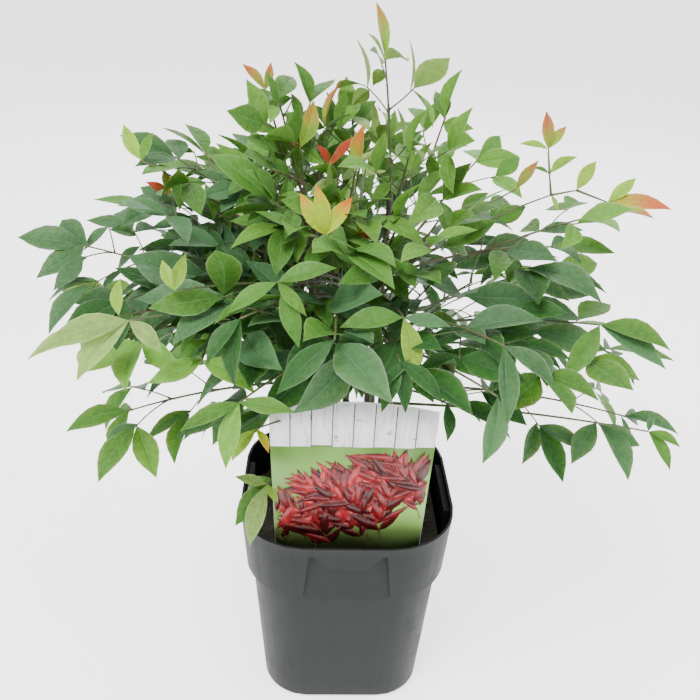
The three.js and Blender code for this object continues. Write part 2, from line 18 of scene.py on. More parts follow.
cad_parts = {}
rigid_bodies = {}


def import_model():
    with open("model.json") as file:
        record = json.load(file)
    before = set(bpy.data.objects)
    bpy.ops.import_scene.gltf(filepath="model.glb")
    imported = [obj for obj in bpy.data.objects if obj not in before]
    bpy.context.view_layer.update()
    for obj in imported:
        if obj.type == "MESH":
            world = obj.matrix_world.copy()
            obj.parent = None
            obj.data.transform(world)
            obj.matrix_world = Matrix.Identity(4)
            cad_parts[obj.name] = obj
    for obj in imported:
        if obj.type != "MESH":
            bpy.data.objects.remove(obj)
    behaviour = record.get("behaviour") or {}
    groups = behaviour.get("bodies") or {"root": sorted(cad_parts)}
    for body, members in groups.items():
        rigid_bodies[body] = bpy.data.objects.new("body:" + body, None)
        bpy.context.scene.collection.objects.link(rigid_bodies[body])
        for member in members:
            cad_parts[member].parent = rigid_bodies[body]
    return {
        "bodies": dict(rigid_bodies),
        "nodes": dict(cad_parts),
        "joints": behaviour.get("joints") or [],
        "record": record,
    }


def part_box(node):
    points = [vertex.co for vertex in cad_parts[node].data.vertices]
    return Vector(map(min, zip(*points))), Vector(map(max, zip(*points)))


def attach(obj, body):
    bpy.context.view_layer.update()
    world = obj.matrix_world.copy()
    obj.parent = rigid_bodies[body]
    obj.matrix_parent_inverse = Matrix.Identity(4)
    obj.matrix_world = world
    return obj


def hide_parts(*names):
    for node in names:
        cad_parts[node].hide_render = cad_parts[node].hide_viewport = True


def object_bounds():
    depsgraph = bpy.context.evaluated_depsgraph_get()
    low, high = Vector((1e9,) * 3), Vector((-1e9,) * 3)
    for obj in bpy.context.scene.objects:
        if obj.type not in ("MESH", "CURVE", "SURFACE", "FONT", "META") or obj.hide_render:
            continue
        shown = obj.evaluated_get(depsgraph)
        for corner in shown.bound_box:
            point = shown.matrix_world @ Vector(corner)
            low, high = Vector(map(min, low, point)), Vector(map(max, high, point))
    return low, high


bl_info = {
    "name": "Potted Heavenly Bamboo",
    "version": (1, 0, 0),
    "blender": (4, 5, 0),
    "location": "View3D > Sidebar > Bamboo",
    "description": "Builds a heavenly bamboo shrub in its nursery pot",
    "category": "Object",
}

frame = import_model()
CAD_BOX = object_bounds()
NODES = frame["nodes"]
MM = 0.001
UP = np.array((0.0, 0.0, 1.0))
AWAY = np.array((0.0, 1.0, 0.0))  # the front is at -Y
UPRIGHT = 0.95  # a direction that rises more than this stands upright
MERGE = 0.02  # corners nearer than this, in millimetres, are made one
FLAT = 1  # faces that bend less than this, in degrees, are made one

# ---- The plant's plan, in millimetres and degrees, as the solids follow it

GAP = 0.3
SOIL_LEVEL = 138
CANE = Values(foot_radius=3.1, tip_radius=1.7, ring=15, bow=8)
# bearing, height of the tip, and how far out the tip leans
CANES = [
    (352, 352, 32), (40, 372, 27), (95, 345, 34), (150, 362, 31), (195, 366, 33), (245, 338, 27),
    (300, 350, 27),
]

# A tier holds the compound leaves of one habit. name: what its solids are called. start: height on the
# cane where the leaves leave it, or None at its tip. stalk: share of the rachis that is bare. lift: how
# high the rachis bows. sag: how strongly the leaflets hang. blade: their length. pinnae: leaflets on each
# pinna, from the first pair of pinnae on. leaves: bearing, reach and height of the tip, tint of the
# leaflets and tint of those near the tip.
Tier = namedtuple("Tier", "name start stalk lift sag blade pinnae leaves")
TIERS = [
    Tier("hanging", 252, 0.4, 18, 0.62, 42, (3, 3, 1), [
        (350, 224, 230, "deep", "deep"), (197, 188, 234, "green", "green"),
        (234, 130, 264, "green", "green"), (322, 122, 250, "deep", "green"),
        (42, 198, 238, "deep", "green"), (92, 188, 234, "green", "green"),
        (143, 200, 228, "deep", "green"),
    ]),
    Tier("spreading", 286, 0.34, 14, 0.32, 43, (5, 3, 1), [
        (180, 210, 346, "deep", "deep"), (204, 202, 306, "pale", "pale"),
        (348, 204, 290, "green", "deep"), (22, 202, 308, "green", "bright"),
        (68, 198, 304, "deep", "green"), (118, 202, 308, "green", "bright"),
    ]),
    Tier("rising", 322, 0.26, 16, 0.12, 37, (3, 3, 1), [
        (1, 197, 376, "bright", "young"), (172, 146, 406, "green", "deep"),
        (184, 160, 372, "deep", "deep"), (354, 160, 348, "green", "bright"),
        (246, 104, 388, "green", "bright"), (294, 108, 388, "bright", "young"),
        (44, 146, 392, "green", "bright"), (96, 138, 394, "green", "young"),
        (138, 150, 378, "deep", "green"),
    ]),
    Tier("crest", None, 0.1, 6, 0.3, 32, (3, 3, 1), [
        (4, 58, 450, "bright", "bright"), (60, 14, 484, "pale", "young"),
        (98, 60, 436, "green", "bright"), (150, 20, 440, "bright", "blush"),
        (180, 58, 464, "green", "bright"), (270, 26, 424, "pale", "young"),
        (306, 50, 438, "bright", "pale"),
    ]),
    Tier("inner", 268, 0.28, 26, 0.42, 47, (5, 3), [
        (246, 128, 344, "deep", "green"), (284, 122, 320, "green", "green"),
        (314, 132, 322, "deep", "deep"), (338, 138, 286, "deep", "deep"),
        (218, 128, 318, "green", "deep"), (274, 106, 306, "deep", "green"),
        (298, 102, 308, "green", "bright"), (270, 86, 362, "bright", "young"),
        (166, 128, 306, "deep", "deep"), (14, 124, 322, "deep", "green"), (74, 118, 296, "deep", "deep"),
        (128, 118, 330, "deep", "green"),
    ]),
    Tier("sprig", 206, 0.3, 14, 0.5, 34, (1,), [
        (222, 100, 172, "pale", "pale"),
    ]),
    # Two more, without solids of their own, fill the shrub's heart
    Tier(None, 262, 0.22, 18, 0.8, 42, (3, 3, 1), [
        (258, 84, 330, "green", "bright"), (236, 98, 352, "bright", "green"),
        (282, 92, 348, "green", "green"), (304, 96, 366, "bright", "bright"),
        (322, 88, 330, "deep", "green"), (212, 92, 338, "green", "deep"),
        (190, 96, 368, "bright", "green"), (350, 92, 362, "green", "bright"),
        (20, 90, 346, "deep", "green"), (52, 94, 358, "green", "deep"), (86, 90, 350, "deep", "green"),
        (112, 92, 340, "deep", "green"), (146, 94, 360, "green", "green"), (168, 88, 338, "deep", "deep"),
        (268, 78, 286, "deep", "deep"), (296, 74, 292, "deep", "green"), (240, 82, 290, "deep", "deep"),
    ]),
    Tier(None, 330, 0.2, 8, 0.7, 35, (3, 3, 1), [
        (250, 66, 410, "bright", "bright"), (292, 70, 404, "green", "bright"),
        (330, 82, 416, "bright", "green"), (200, 84, 412, "green", "bright"),
        (28, 78, 420, "green", "green"), (78, 70, 410, "green", "bright"),
        (128, 76, 414, "green", "green"), (162, 92, 400, "deep", "green"),
    ]),
]
STALKED = TIERS[0]  # its leaves also have their bare stalks as solids
TIP_SHARE = 0.72  # from here on a rachis carries the tip's tint
# How far a leaf strays from its tier's start, sideways, in its blades' length and in its roll
SPREAD = Values(start=12, sway=9, blade=0.08, roll=16)
# Twigs of a compound leaf. blades_long: their length in blades, by how many leaflets they carry.
PINNA = Values(
    angle=57, angle_spread=8, sink=0.14, rise=0.28, blades_long={5: 1.55, 3: 0.85}, length_spread=0.12,
    pair_share=0.48, stagger=1.1, clear_of_stalk=6,
)
# Leaflets in pairs, with their length as a share of the end one's, and how they turn. One that has no
# room shrinks a little at each further try.
LEAFLET = Values(
    pair_angle=54, pair_smallest=0.736, pair_largest=0.92, stagger=1.1, turn_spread=9, sag_spread=0.6,
    roll_spread=24, to_light=0.6, tries=4, shrink=0.9,
)
SEED = Values(first=4598, leaf=7919, tier=158380, of_leaf=131, leaflet=104729, attempt=7919)
STREAM = Values(factor=48271, modulus=2147483647)
MATCH = 0.2  # a leaflet stands where a solid has its tip within this distance
SAMPLES = (0.3, 0.55, 0.8, 1.0)  # shares of a leaflet's length where its distance to others is taken

# Finer growth between the solids' leaflets, within the same reach. shares: where more twigs leave a
# rachis that has so many pairs of pinnae. inside: share of the solids' box that tips may fill.
FINER = Values(
    stream=52711, blade=0.78, blades_long=0.62, pair_share=0.44, pair_at=0.5,
    shares={3: (0.27, 0.76), 2: (0.3, 0.62), 1: ()}, sag=0.42, rise=0.56, clear=3.3, clear_out=0.025,
    inside=0.97, bare_tier="hanging",
)
# The side where the shrub is thinner, and the room that leaflets, and finer ones, need there
THIN = Values(side=4, clear=12, clear_finer=30)
# No finer leaflets hang before the label, under a plane that rises forwards over its top
LABEL_VIEW = Values(half=60, open=50, front=-50, top=262, slope=0.53, overhang=7)

# A shoot leaves its cane "drop" below its blades, or at "foot" where that is lower, and bows by "lift".
# An older leaflet nearer than "clear" gives way to it. slim: width of a young blade, as a share of a
# grown one's. face: how far the blades look to one side, to the front and up.
SHOOT = Values(drop=30, foot=330, lift=8, clear=6.5, slim=0.8, face=(0.3, -0.45, 0.85))
# Young shoots: where the blades meet, then bearing, rise, length and tint of each blade, and where a
# shoot that branches off another one begins
SHOOTS = [
    ((-20, -65, 372), ((147, 51, 27, "amber"), (125, 74, 28, "amber"), (37, 50, 26, "amber"))),
    ((-4, -48, 366), ((335, 5, 15, "red"), (15, 40, 14, "young"))),
    ((-18, 0, 393), ((183, 57, 15, "red"), (348, 57, 12, "red"), (355, 49, 26, "red"))),
    ((-36, -4, 404), ((60, 59, 30, "young"), (164, 37, 18, "red"))),
    ((-56, -3, 436), ((165, 45, 19, "blush"), (49, 72, 16, "blush"))),
    ((-114, -5, 374), ((172, 29, 16, "red"), (110, 40, 18, "young"))),
    ((127, 30, 370), ((292, -48, 12, "lime"),)),
    ((125, 34, 383), ((169, 15, 13, "green"), (15, 30, 22, "lime")), (127, 30, 370)),
    (
        (124, 42, 397),
        ((99, 62, 25, "blush"), (31, 46, 20, "young"), (171, 12, 19, "lime")),
        (125, 34, 383),
    ),
    ((143, 29, 374), ((34, 48, 24, "lime"),), (127, 30, 370)),
    (
        (163, 24, 368),
        ((22, 38, 25, "lime"), (193, -27, 13, "young"), (342, 3, 40, "flame")),
        (143, 29, 374),
    ),
    ((101, 20, 376), ((31, 47, 24, "blush"),)),
    ((-44, -102, 360), ((359, 19, 31, "green"), (202, -25, 30, "green"), (318, -30, 24, "bright"))),
    ((-42, -104, 356), ((300, -48, 30, "green"),)),
    ((20, -111, 346), ((188, -5, 33, "green"), (345, 2, 24, "deep"), (285, -53, 32, "lime"))),
    # The darkest tint on these front shoots is painted shade
    ((-15, -137, 346), ((209, -35, 38, "shaded_green"),)),
    ((-61, -120, 348), ((260, -54, 34, "shaded_green"), (222, -38, 29, "shaded_green"))),
    ((18, -128, 330), ((240, -47, 27, "shaded_green"), (328, -29, 30, "shaded_green"), (285, -60, 26, "shaded_green"))),
    ((69, -128, 340), ((276, -56, 40, "deep"), (320, -20, 32, "deep"))),
    ((66, -140, 318), ((250, -56, 34, "deep"),)),
    ((142, -58, 319), ((345, -12, 44, "green"), (337, -26, 46, "deep"), (220, -45, 40, "green"))),
    ((-96, -100, 353), ((32, 70, 20, "lime"), (130, 50, 18, "lime"))),
    ((-129, -89, 333), ((80, 76, 20, "lime"),)),
    ((-118, -111, 341), ((213, -40, 40, "pale"), (191, -15, 48, "pale"), (326, -29, 24, "pale"))),
    ((-61, -139, 311), ((198, -18, 32, "green"), (248, -53, 33, "bright"), (348, 1, 28, "green"))),
    ((-58, -82, 258), ((312, -42, 16, "amber"), (215, -41, 24, "lime"))),
    ((-54, -56, 198), ((239, -53, 42, "pale"), (313, -35, 14, "lime"), (171, 12, 22, "pale"))),
    ((176, -79, 259), ((342, -16, 22, "green"), (308, -39, 26, "green"), (60, 20, 14, "deep"))),
    ((-129, -5, 394), ((137, 51, 24, "lime"), (40, 60, 18, "bright"))),
]

# ---- Looks, in millimetres and degrees

# The pot's upright edges that bend so much, less where they are tall, belong to its corners and get these
# rounds. Edges above the rim level or below the foot level are softened, and faces inside above the floor
# are painted darker, as painted shade. The pairs of levels at the rim and the foot: between them the
# plastic is painted lighter, a painted highlight, in metres.
POT = Values(
    tall=100, least_bend_tall=7, least_bend=12, most_bend=24, corner_round=4.8, corner_cuts=4, rim=158,
    foot=2, edge_cuts=3, smooth_below=15, normal_weight=70, floor=10, worn_rim=(0.150, 0.161),
    worn_foot=(0.02, 0.0),
)
# gap: between soil and pot. foot: width at the foot, as a share of the top's. rings, ring: rows of faces
# on the top. skin: depth of what counts as the top. clod: size, steps of detail, relief, and share of it
# that sinks in.
SOIL = Values(
    gap=0.4, corner=40, corner_cuts=10, foot=55 / 66, rings=9, ring=4.2, cuts=2, skin=0.5, loose_half=64,
    clod=(12, 4, 5, 0.85),
)
# size: half of each side. turn: about the three axes, in radians. level: above the soil's.
CRUMB = Values(
    stream=771, reach=62, size=((0.6, 2.6), (0.5, 1.5), (0.4, 1.0)),
    turn=((-0.5, 0.5), (-0.5, 0.5), (0, 6.3)), sunk=0.2, level=(-0.8, 0.6), rough=0.25, lumps=9,
    lump_shift=5,
)
# A cane's joints are rings and necks in its radius. furrow: size, steps of detail.
BARK = Values(
    stream=3001, stream_step=97, cuts=44, joint_every=4, joint=1.16, neck=0.94, uneven=(0.96, 1.05),
    sides=6, smoothness=3, furrow=(3, 3),
)
# Radii of stalks, rachises and twigs, and how they swell
STEMS = Values(
    stalk_root=1.1, stalk_tip=0.9, rachis_tip=0.5, sheath=2.3, sheath_long=5.0, steps=22, pinna_root=0.5,
    pinna_tip=0.38, pinna_steps=8, pinna_sides=6, pinna_bow=0.04, pinna_swellings=(0.5, 0.35),
    pinna_swelling_long=0.08, swelling=1.45, swelling_long=3.0, sides=8,
)
# A blade's outline, by the shares of its length where it has corners, and its form. lean, drop: powers
# that shape the base and the tip.
STATIONS = (0.05, 0.15, 0.28, 0.43, 0.59, 0.75, 0.89)
ACROSS = (-1, 0, 1)  # margin, midrib, margin
BLADE = Values(lean=1.2, drop=1.32, arch=0.2, ripples=7, thickness=0.3, tones=8, sharp_above=25)
# What each blade draws for itself, in this order. fold, width: shares of the usual. curl, bow: shares of
# its length. twist: at the tip. wave: share of half its width. phase: where the wave begins, in radians.
BLADE_DRAWS = {
    "fold": (0.2, 1.8), "curl": (0, 0.15), "bow": (-0.05, 0.05), "twist": (-16, 16), "wave": (0, 0.05),
    "phase": (0, 2 * math.pi), "width": (0.9, 1.08), "tone": (0, 1),
}
# Rows of side veins and their slant, and where the veins, the midrib and the margin's painted highlight
# fade in
VEINS = Values(rows=52, slant=11, veins=(0.86, 1.0), midrib=(0.085, 0.03), margin=(0.86, 1.0))
# Colour of the upper face, and for young blades the share of a flush, its colour and where it begins
TINTS = {
    "deep": ((0.042, 0.106, 0.040),),
    # Next, a dark green that is painted shade, for leaflets in the shrub's shade
    "shaded_green": ((0.018, 0.060, 0.014),),
    "green": ((0.054, 0.147, 0.021),),
    "bright": ((0.090, 0.215, 0.028),),
    "pale": ((0.175, 0.28, 0.065),),
    "lime": ((0.175, 0.305, 0.028),),
    "young": ((0.16, 0.275, 0.022), 0.8, (0.38, 0.10, 0.02), 0.45),
    "amber": ((0.27, 0.37, 0.012), 0.8, (0.54, 0.12, 0.012), 0.6),
    "red": ((0.22, 0.12, 0.022), 0.92, (0.30, 0.028, 0.014), 0.2),
    "flame": ((0.26, 0.25, 0.022), 0.85, (0.44, 0.07, 0.03), 0.45),
    "blush": ((0.20, 0.22, 0.03), 0.85, (0.34, 0.06, 0.028), 0.4),
}
# Share of leaflets that stray to another tint than their spray's
STRAY = Values(stream=90901, share=0.2)
STRAYS = {"deep": "green", "green": "bright", "bright": "green", "pale": "bright", "young": "bright"}
# Leaflets deep in the shrub are painted a tint darker, as painted shade, and those near its foot one more
SHADE_STEPS = {"bright": "green", "green": "deep", "deep": "shaded_green", "pale": "bright", "young": "bright"}
DEEP_IN = ((146, 362), (110, 300))  # distance from the middle and level, both less than these
# How the blades turn their faces: outward, to the side that the light comes from, and by chance
POSTURE = Values(outward=0.3, front=0.36, roll=26)
# The label's card: half its width at the top and at the foot, its levels, and how its face leans
LABEL = Values(
    half=52, foot_half=49, foot_level=136, shoulder=262, apex=269, lean=6, front=-54, front_level=148,
    face=0.4,
)
# Its print: boards down to the horizon and a lawn below it. The pairs named lift hold how far a plate's
# back and front stand off the card; backing_in, board_in and lawn_in are how far plates stay inside the
# card's edge. near: levels between which the lawn is painted lighter towards its foot, painted light
# against the shade of the pot's rim, in metres.
PRINT = Values(
    stream=4177, horizon=234.5, gap=0.7, foot=139, foot_margin=0.2, margin=0.8, uneven=0.9, board_in=0.7,
    board_lift=(0.10, 0.18), board_steps=5, flat_lift=(0.02, 0.08), backing_in=0.9, backing_edge=0.6,
    backing_steps=9, lawn_in=(0.3, 0.5), near=(0.19, 0.142),
)
# Its printed sprays, by their stems and then their leaves. start: in half widths of the card, how far it
# varies, and the power that crowds it to the right. right_rise: how much higher they start there.
PRINT_SPRAY = Values(
    start=(1.2, 2.1, 1.5), level=137, rise=(0, 30), right_rise=0.6, lean=(-66, 14), long=(26, 52),
    bend=(0.5, 0.6), steps=6, stem_half=0.25, layer=0.1, layer_step=0.028, layers=16,
    stem_lift=(-0.018, -0.006), turn=(24, 50), leaf_long=(14, 28), leaf_wide=(0.2, 0.3), leaf_lift=0.016,
    leaf_thick=0.01, dark=0.36, light=0.58,
)
# Half the outline of a printed leaf: shares of its length and of half its width
LEAF_SIDE = ((0.2, 0.8), (0.45, 1), (0.75, 0.55))
# Among these, the lawn's lighter green at its foot is painted light against the shade of the pot's rim
COLOURS = Values(
    wood_bits=(0.07, 0.038, 0.02), crumbs=(0.055, 0.032, 0.018), green_bark=(0.10, 0.14, 0.05),
    stalk_flush=(0.10, 0.045, 0.03), stalk_light=(0.15, 0.21, 0.06), bare_wood=(0.13, 0.12, 0.11),
    near_lawn=(0.42, 0.66, 0.2), card=(0.75, 0.75, 0.73), card_grime=(0.6, 0.61, 0.6),
    board_gaps=(0.05, 0.05, 0.05), print_stem=(0.16, 0.05, 0.03), white=(1.0, 1.0, 1.0),
)
FLOOR = Values(size=30, below=0.5)  # in metres and millimetres
SKY_LIGHT = 1.2
# Soft boxes: place and size in metres, and power
BOXES = {
    "key_box": ((-0.7, -0.9, 1.9), 0.9, 62),
    "side_box": ((1.5, -0.5, 1.1), 1.0, 14),
    "back_box": ((0.3, 1.5, 1.4), 1.2, 22),
}
BOX_AIM = (0, 0, 0.25)
CAMERA = Values(place=(-22.7, -475.8, 519.3), aim=(-1.4, 0.06, 268.3), roll=2.4, sensor=36, near=10)


# ---- Repeatable random numbers, directions and curves


def stream(seed):
    """Draws numbers between two bounds, the same ones for the same seed."""
    state = seed

    def draw(low, high):
        nonlocal state
        state = state * STREAM.factor % STREAM.modulus
        return low + (high - low) * (state / STREAM.modulus)

    return draw


def around(draw, middle, spread):
    return draw(middle - spread, middle + spread)


def unit(vector):
    return vector / np.linalg.norm(vector)


def squared(vector, axis):
    """The direction square to an axis that is nearest to a vector."""
    return unit(vector - axis * vector.dot(axis))


def heading(bearing):
    turn = math.radians(bearing)
    return np.array((math.cos(turn), math.sin(turn), 0.0))


def spun(vector, axis, angle):
    """A direction turned about an axis."""
    turn = math.radians(angle)
    along = axis * axis.dot(vector)
    return along + (vector - along) * math.cos(turn) + np.cross(axis, vector) * math.sin(turn)


def turned(along, across, angle):
    turn = math.radians(angle)
    return along * math.cos(turn) + across * math.sin(turn)


def on_curve(curve, share):
    root, bend, tip = curve
    return root * (1 - share) ** 2 + bend * 2 * share * (1 - share) + tip * share**2


def tangent(curve, share):
    root, bend, tip = curve
    return unit((bend - root) * (1 - share) + (tip - bend) * share)


def curve_length(curve, steps=200):
    points = [on_curve(curve, k / steps) for k in range(steps + 1)]
    return sum(np.linalg.norm(b - a) for a, b in zip(points, points[1:]))


# ---- The plan of canes, compound leaves and shoots

Pose = namedtuple("Pose", "place along up length")  # up: the way that the blade's face looks
Twig = namedtuple("Twig", "start stop frame leaflets")


@dataclass
class Leaflet:
    """A leaflet on one of its spray's twigs, or on the rachis itself."""

    twig: int  # None on the rachis
    bud: Pose  # before it sags and turns
    sag: float
    seed: int
    tint: str
    share: float  # of the rachis, where it grows
    pose: Pose = None  # as it stands, once it has found room


@dataclass
class Spray:
    """A compound leaf or a young shoot: a rachis with twigs and leaflets."""

    rachis: tuple  # a curve's root, bend and tip
    end: float = 1  # share of the rachis where its end leaflet sits
    level: np.ndarray = None  # square to the plane that the rachis lies in
    roll: float = 0  # of its upper side about itself
    tier: Tier = None
    seed: int = 0
    tints: tuple = ()
    name: str = None  # of its solid
    sheathed: bool = True  # where it leaves a cane
    slim: float = 1
    nodes: list = field(default_factory=list)  # shares of the rachis where the pinnae leave it
    twigs: list = field(default_factory=list)
    leaflets: list = field(default_factory=list)

    def frame_at(self, share):
        """The directions along the rachis, up and across."""
        along = tangent(self.rachis, share)
        up = spun(unit(np.cross(along, self.level)), along, self.roll)
        return along, up, np.cross(up, along)

    def drop(self, test):
        """Takes away the leaflets whose pose a test tells to go."""
        self.leaflets = [each for each in self.leaflets if not (each.pose and test(each.pose))]


class Growth:
    """Twigs and leaflets that are added to a spray by one stream of draws."""

    def __init__(self, spray, draw, next_seed, blade, sag, rise):
        self.spray, self.draw, self.next_seed = spray, draw, next_seed
        self.blade, self.sag, self.rise = blade, sag, rise
        self.leaflets = []

    def leaflet(self, twig, bud, share, sag):
        tint, tip_tint = self.spray.tints
        own_tint = tip_tint if share > TIP_SHARE else tint
        self.leaflets.append(Leaflet(twig, bud, sag, self.next_seed(), own_tint, share))

    def pair(self, twig, place, frame, share):
        along, up, across = frame
        for side in (-1, 1):
            out = turned(along, across, side * LEAFLET.pair_angle)
            length = self.blade * self.draw(LEAFLET.pair_smallest, LEAFLET.pair_largest)
            bud = Pose(place + along * side * LEAFLET.stagger, out, up, length)
            self.leaflet(twig, bud, share, self.sag)

    def way(self, frame, side):
        """The frame of a twig that leaves the rachis to one side."""
        along, up, across = frame
        out = turned(along, across, side * (PINNA.angle + around(self.draw, 0, PINNA.angle_spread)))
        out = unit(out + up * self.draw(-PINNA.sink, self.rise))
        sideways = unit(np.cross(up, out))
        return out, np.cross(out, sideways), sideways

    def twig(self, start, frame, length, leaflets, share):
        """A twig with a leaflet at its end, a pair behind it and, if it has five, another pair."""
        out, up, _ = frame
        stop = start + out * length
        number = len(self.spray.twigs)
        self.spray.twigs.append(Twig(start, stop, frame, leaflets))
        if leaflets == 5:
            self.pair(number, start + (stop - start) * PINNA.pair_share, frame, share)
        self.pair(number, stop - out * 2 * LEAFLET.stagger, frame, share)
        self.leaflet(number, Pose(stop, out, up, self.blade), share, self.sag)


def cane_curve(cane):
    bearing, height, reach = cane
    out = heading(bearing)
    foot = out * CANE.ring + UP * (SOIL_LEVEL + GAP)
    tip = out * reach + UP * height
    bend = out * (CANE.ring + CANE.bow) + UP * (foot[2] + tip[2]) / 2
    return foot, bend, tip


def cane_point(curve, height, halvings=30):
    low, high = 0.0, 1.0
    for _ in range(halvings):
        middle = (low + high) / 2
        if on_curve(curve, middle)[2] < height:
            low = middle
        else:
            high = middle
    return on_curve(curve, low)


def nearest_cane(bearing):
    return min(CANES, key=lambda cane: abs((cane[0] - bearing + 180) % 360 - 180))


def compound_leaf(tier, leaf, cane, seed):
    """One compound leaf: its rachis, its twigs and its leaflets, by the same draws as the solids."""
    draw = stream(seed)
    bearing, reach, height, *tints = leaf
    curve = cane_curve(cane)
    if tier.start is None:
        root = on_curve(curve, 1) + UP * GAP
    else:
        root = cane_point(curve, tier.start + around(draw, 0, SPREAD.start))
    tip = heading(bearing) * reach + UP * height
    level = unit(np.cross(UP, tip - root))
    crest = (root + tip) / 2 + level * around(draw, 0, SPREAD.sway) + UP * tier.lift
    blade = tier.blade * around(draw, 1, SPREAD.blade)
    end = 1 - blade / np.linalg.norm(tip - root)
    spray = Spray((root, crest, tip), end, level, around(draw, 0, SPREAD.roll), tier, seed, tints)
    spray.sheathed = tier.start is not None
    number = count(1)

    def next_seed():
        return (SEED.of_leaf * seed + SEED.leaflet * next(number)) % STREAM.modulus

    growth = Growth(spray, draw, next_seed, blade, tier.sag, PINNA.rise)
    last = len(tier.pinnae) - 1
    first = tier.stalk + PINNA.clear_of_stalk / curve_length(spray.rachis)
    for k, leaflets in enumerate(tier.pinnae):
        share = first + (end - first) * (k / last if last else 1)
        here = spray.frame_at(share)
        place, along = on_curve(spray.rachis, share), here[0]
        spray.nodes.append(share)
        if leaflets == 1:
            growth.pair(None, place - along * 2 * LEAFLET.stagger, here, share)
            continue
        if k == last:
            place = place - along * 2 * PINNA.stagger
        for side in (-1, 1):
            way = growth.way(here, side)
            length = PINNA.blades_long[leaflets] * blade * around(draw, 1, PINNA.length_spread)
            growth.twig(place + along * side * PINNA.stagger, way, length, leaflets, share)
    place = on_curve(spray.rachis, end)
    length = np.linalg.norm(tip - place)
    growth.leaflet(None, Pose(place, (tip - place) / length, spray.frame_at(end)[1], length), 1, 0)
    spray.leaflets = growth.leaflets
    return spray


def finer_leaflets(spray):
    """More leaflets by the same rule: pairs halfway along the twigs, and smaller twigs between them."""
    draw = stream(spray.seed + FINER.stream)
    blade = spray.tier.blade * FINER.blade

    def next_seed():
        return int(draw(1, STREAM.modulus - 1))

    growth = Growth(spray, draw, next_seed, blade, spray.tier.sag + FINER.sag, FINER.rise)
    for number, twig in enumerate(spray.twigs):
        if twig.leaflets == 3:
            middle = twig.start + (twig.stop - twig.start) * FINER.pair_share
            growth.pair(number, middle, twig.frame, FINER.pair_at)
    first = spray.nodes[0]
    for part in FINER.shares[len(spray.nodes)]:
        share = first + (spray.end - first) * part
        here = spray.frame_at(share)
        for side in (-1, 1):
            start = on_curve(spray.rachis, share) + here[0] * side * PINNA.stagger
            growth.twig(start, growth.way(here, side), FINER.blades_long * blade, 3, share)
    return growth.leaflets


def pose_leaflet(leaflet, attempt):
    """How a leaflet hangs at one of its tries."""
    draw = stream((leaflet.seed + SEED.attempt * attempt) % STREAM.modulus)
    place, along, up, length = leaflet.bud
    across = unit(np.cross(up, along))
    along = turned(along, across, around(draw, 0, LEAFLET.turn_spread * (1 + attempt)))
    along = unit(along - UP * leaflet.sag * around(draw, 1, LEAFLET.sag_spread))
    up = squared(up + (UP - up) * LEAFLET.to_light, along)
    up = spun(up, along, around(draw, 0, LEAFLET.roll_spread))
    return Pose(place, along, up, length * LEAFLET.shrink ** attempt)


def samples(pose):
    """Points along a leaflet that show whether another one is too near."""
    return np.array([pose.place + pose.along * pose.length * share for share in SAMPLES])


def nearest(points, others):
    return np.linalg.norm(others[:, None, :] - points[None, :, :], axis=2).min()


def thinness(point):
    """1 on the shrub's thin side, falling to 0 at right angles to it."""
    return max(0.0, point.dot(heading(THIN.side)) / np.linalg.norm(point[:2])) ** 2


def hides_label(points):
    across, front, level = points.T
    before = (np.abs(across) < LABEL_VIEW.half) & (front < LABEL_VIEW.front)
    return before & (level < LABEL_VIEW.top + LABEL_VIEW.slope * (LABEL_VIEW.front - front))


def covers_print(pose):
    points = samples(pose)
    before = hides_label(points + UP * LABEL_VIEW.overhang)
    return np.any(before & (np.abs(points[:, 0]) < LABEL_VIEW.open))


def crowded(pose, shoots, stood):
    """Whether a leaflet is too near a shoot or, on the thin side, another spray."""
    points = samples(pose)
    clear = THIN.clear * thinness(points[-1])
    return nearest(points, shoots) < SHOOT.clear or nearest(points, stood) < clear


def standing(sprays):
    """The samples of each leaflet that stands."""
    return [samples(leaflet.pose) for spray in sprays for leaflet in spray.leaflets if leaflet.pose]


def give_way(leaves, shoots):
    """Drops leaflets that crowd a shoot or another spray."""
    taken = stood = np.concatenate(standing(shoots))
    for spray in leaves:
        spray.drop(lambda pose: crowded(pose, taken, stood))
        stood = np.concatenate([stood, *standing([spray])])


def has_room(points, stood):
    """Whether a finer leaflet is within the solids' reach, off the label's face and clear of others."""
    low, high = (np.array(corner) / MM for corner in CAD_BOX)
    middle, tip = (low + high) / 2, points[-1]
    if np.any(np.abs(tip - middle) > (high - middle) * FINER.inside) or np.any(hides_label(points)):
        return False
    clear = FINER.clear + FINER.clear_out * np.linalg.norm(tip[:2])
    return nearest(points, stood) > clear + THIN.clear_finer * thinness(tip)


def grow_finer(leaves, shoots):
    """Lets each finer leaflet, and each that no solid has, stand at its first try that has room."""
    stood = np.concatenate(standing(shoots + leaves))
    for spray in leaves:
        fresh = [leaflet for leaflet in spray.leaflets if not leaflet.pose]
        if spray.tier.name != FINER.bare_tier:
            fresh += finer_leaflets(spray)
        spray.leaflets = [leaflet for leaflet in spray.leaflets if leaflet.pose]
        for leaflet in fresh:
            for attempt in range(LEAFLET.tries):
                pose = pose_leaflet(leaflet, attempt)
                if has_room(samples(pose), stood):
                    leaflet.pose = pose
                    spray.leaflets.append(leaflet)
                    stood = np.concatenate([stood, samples(pose)])
                    break


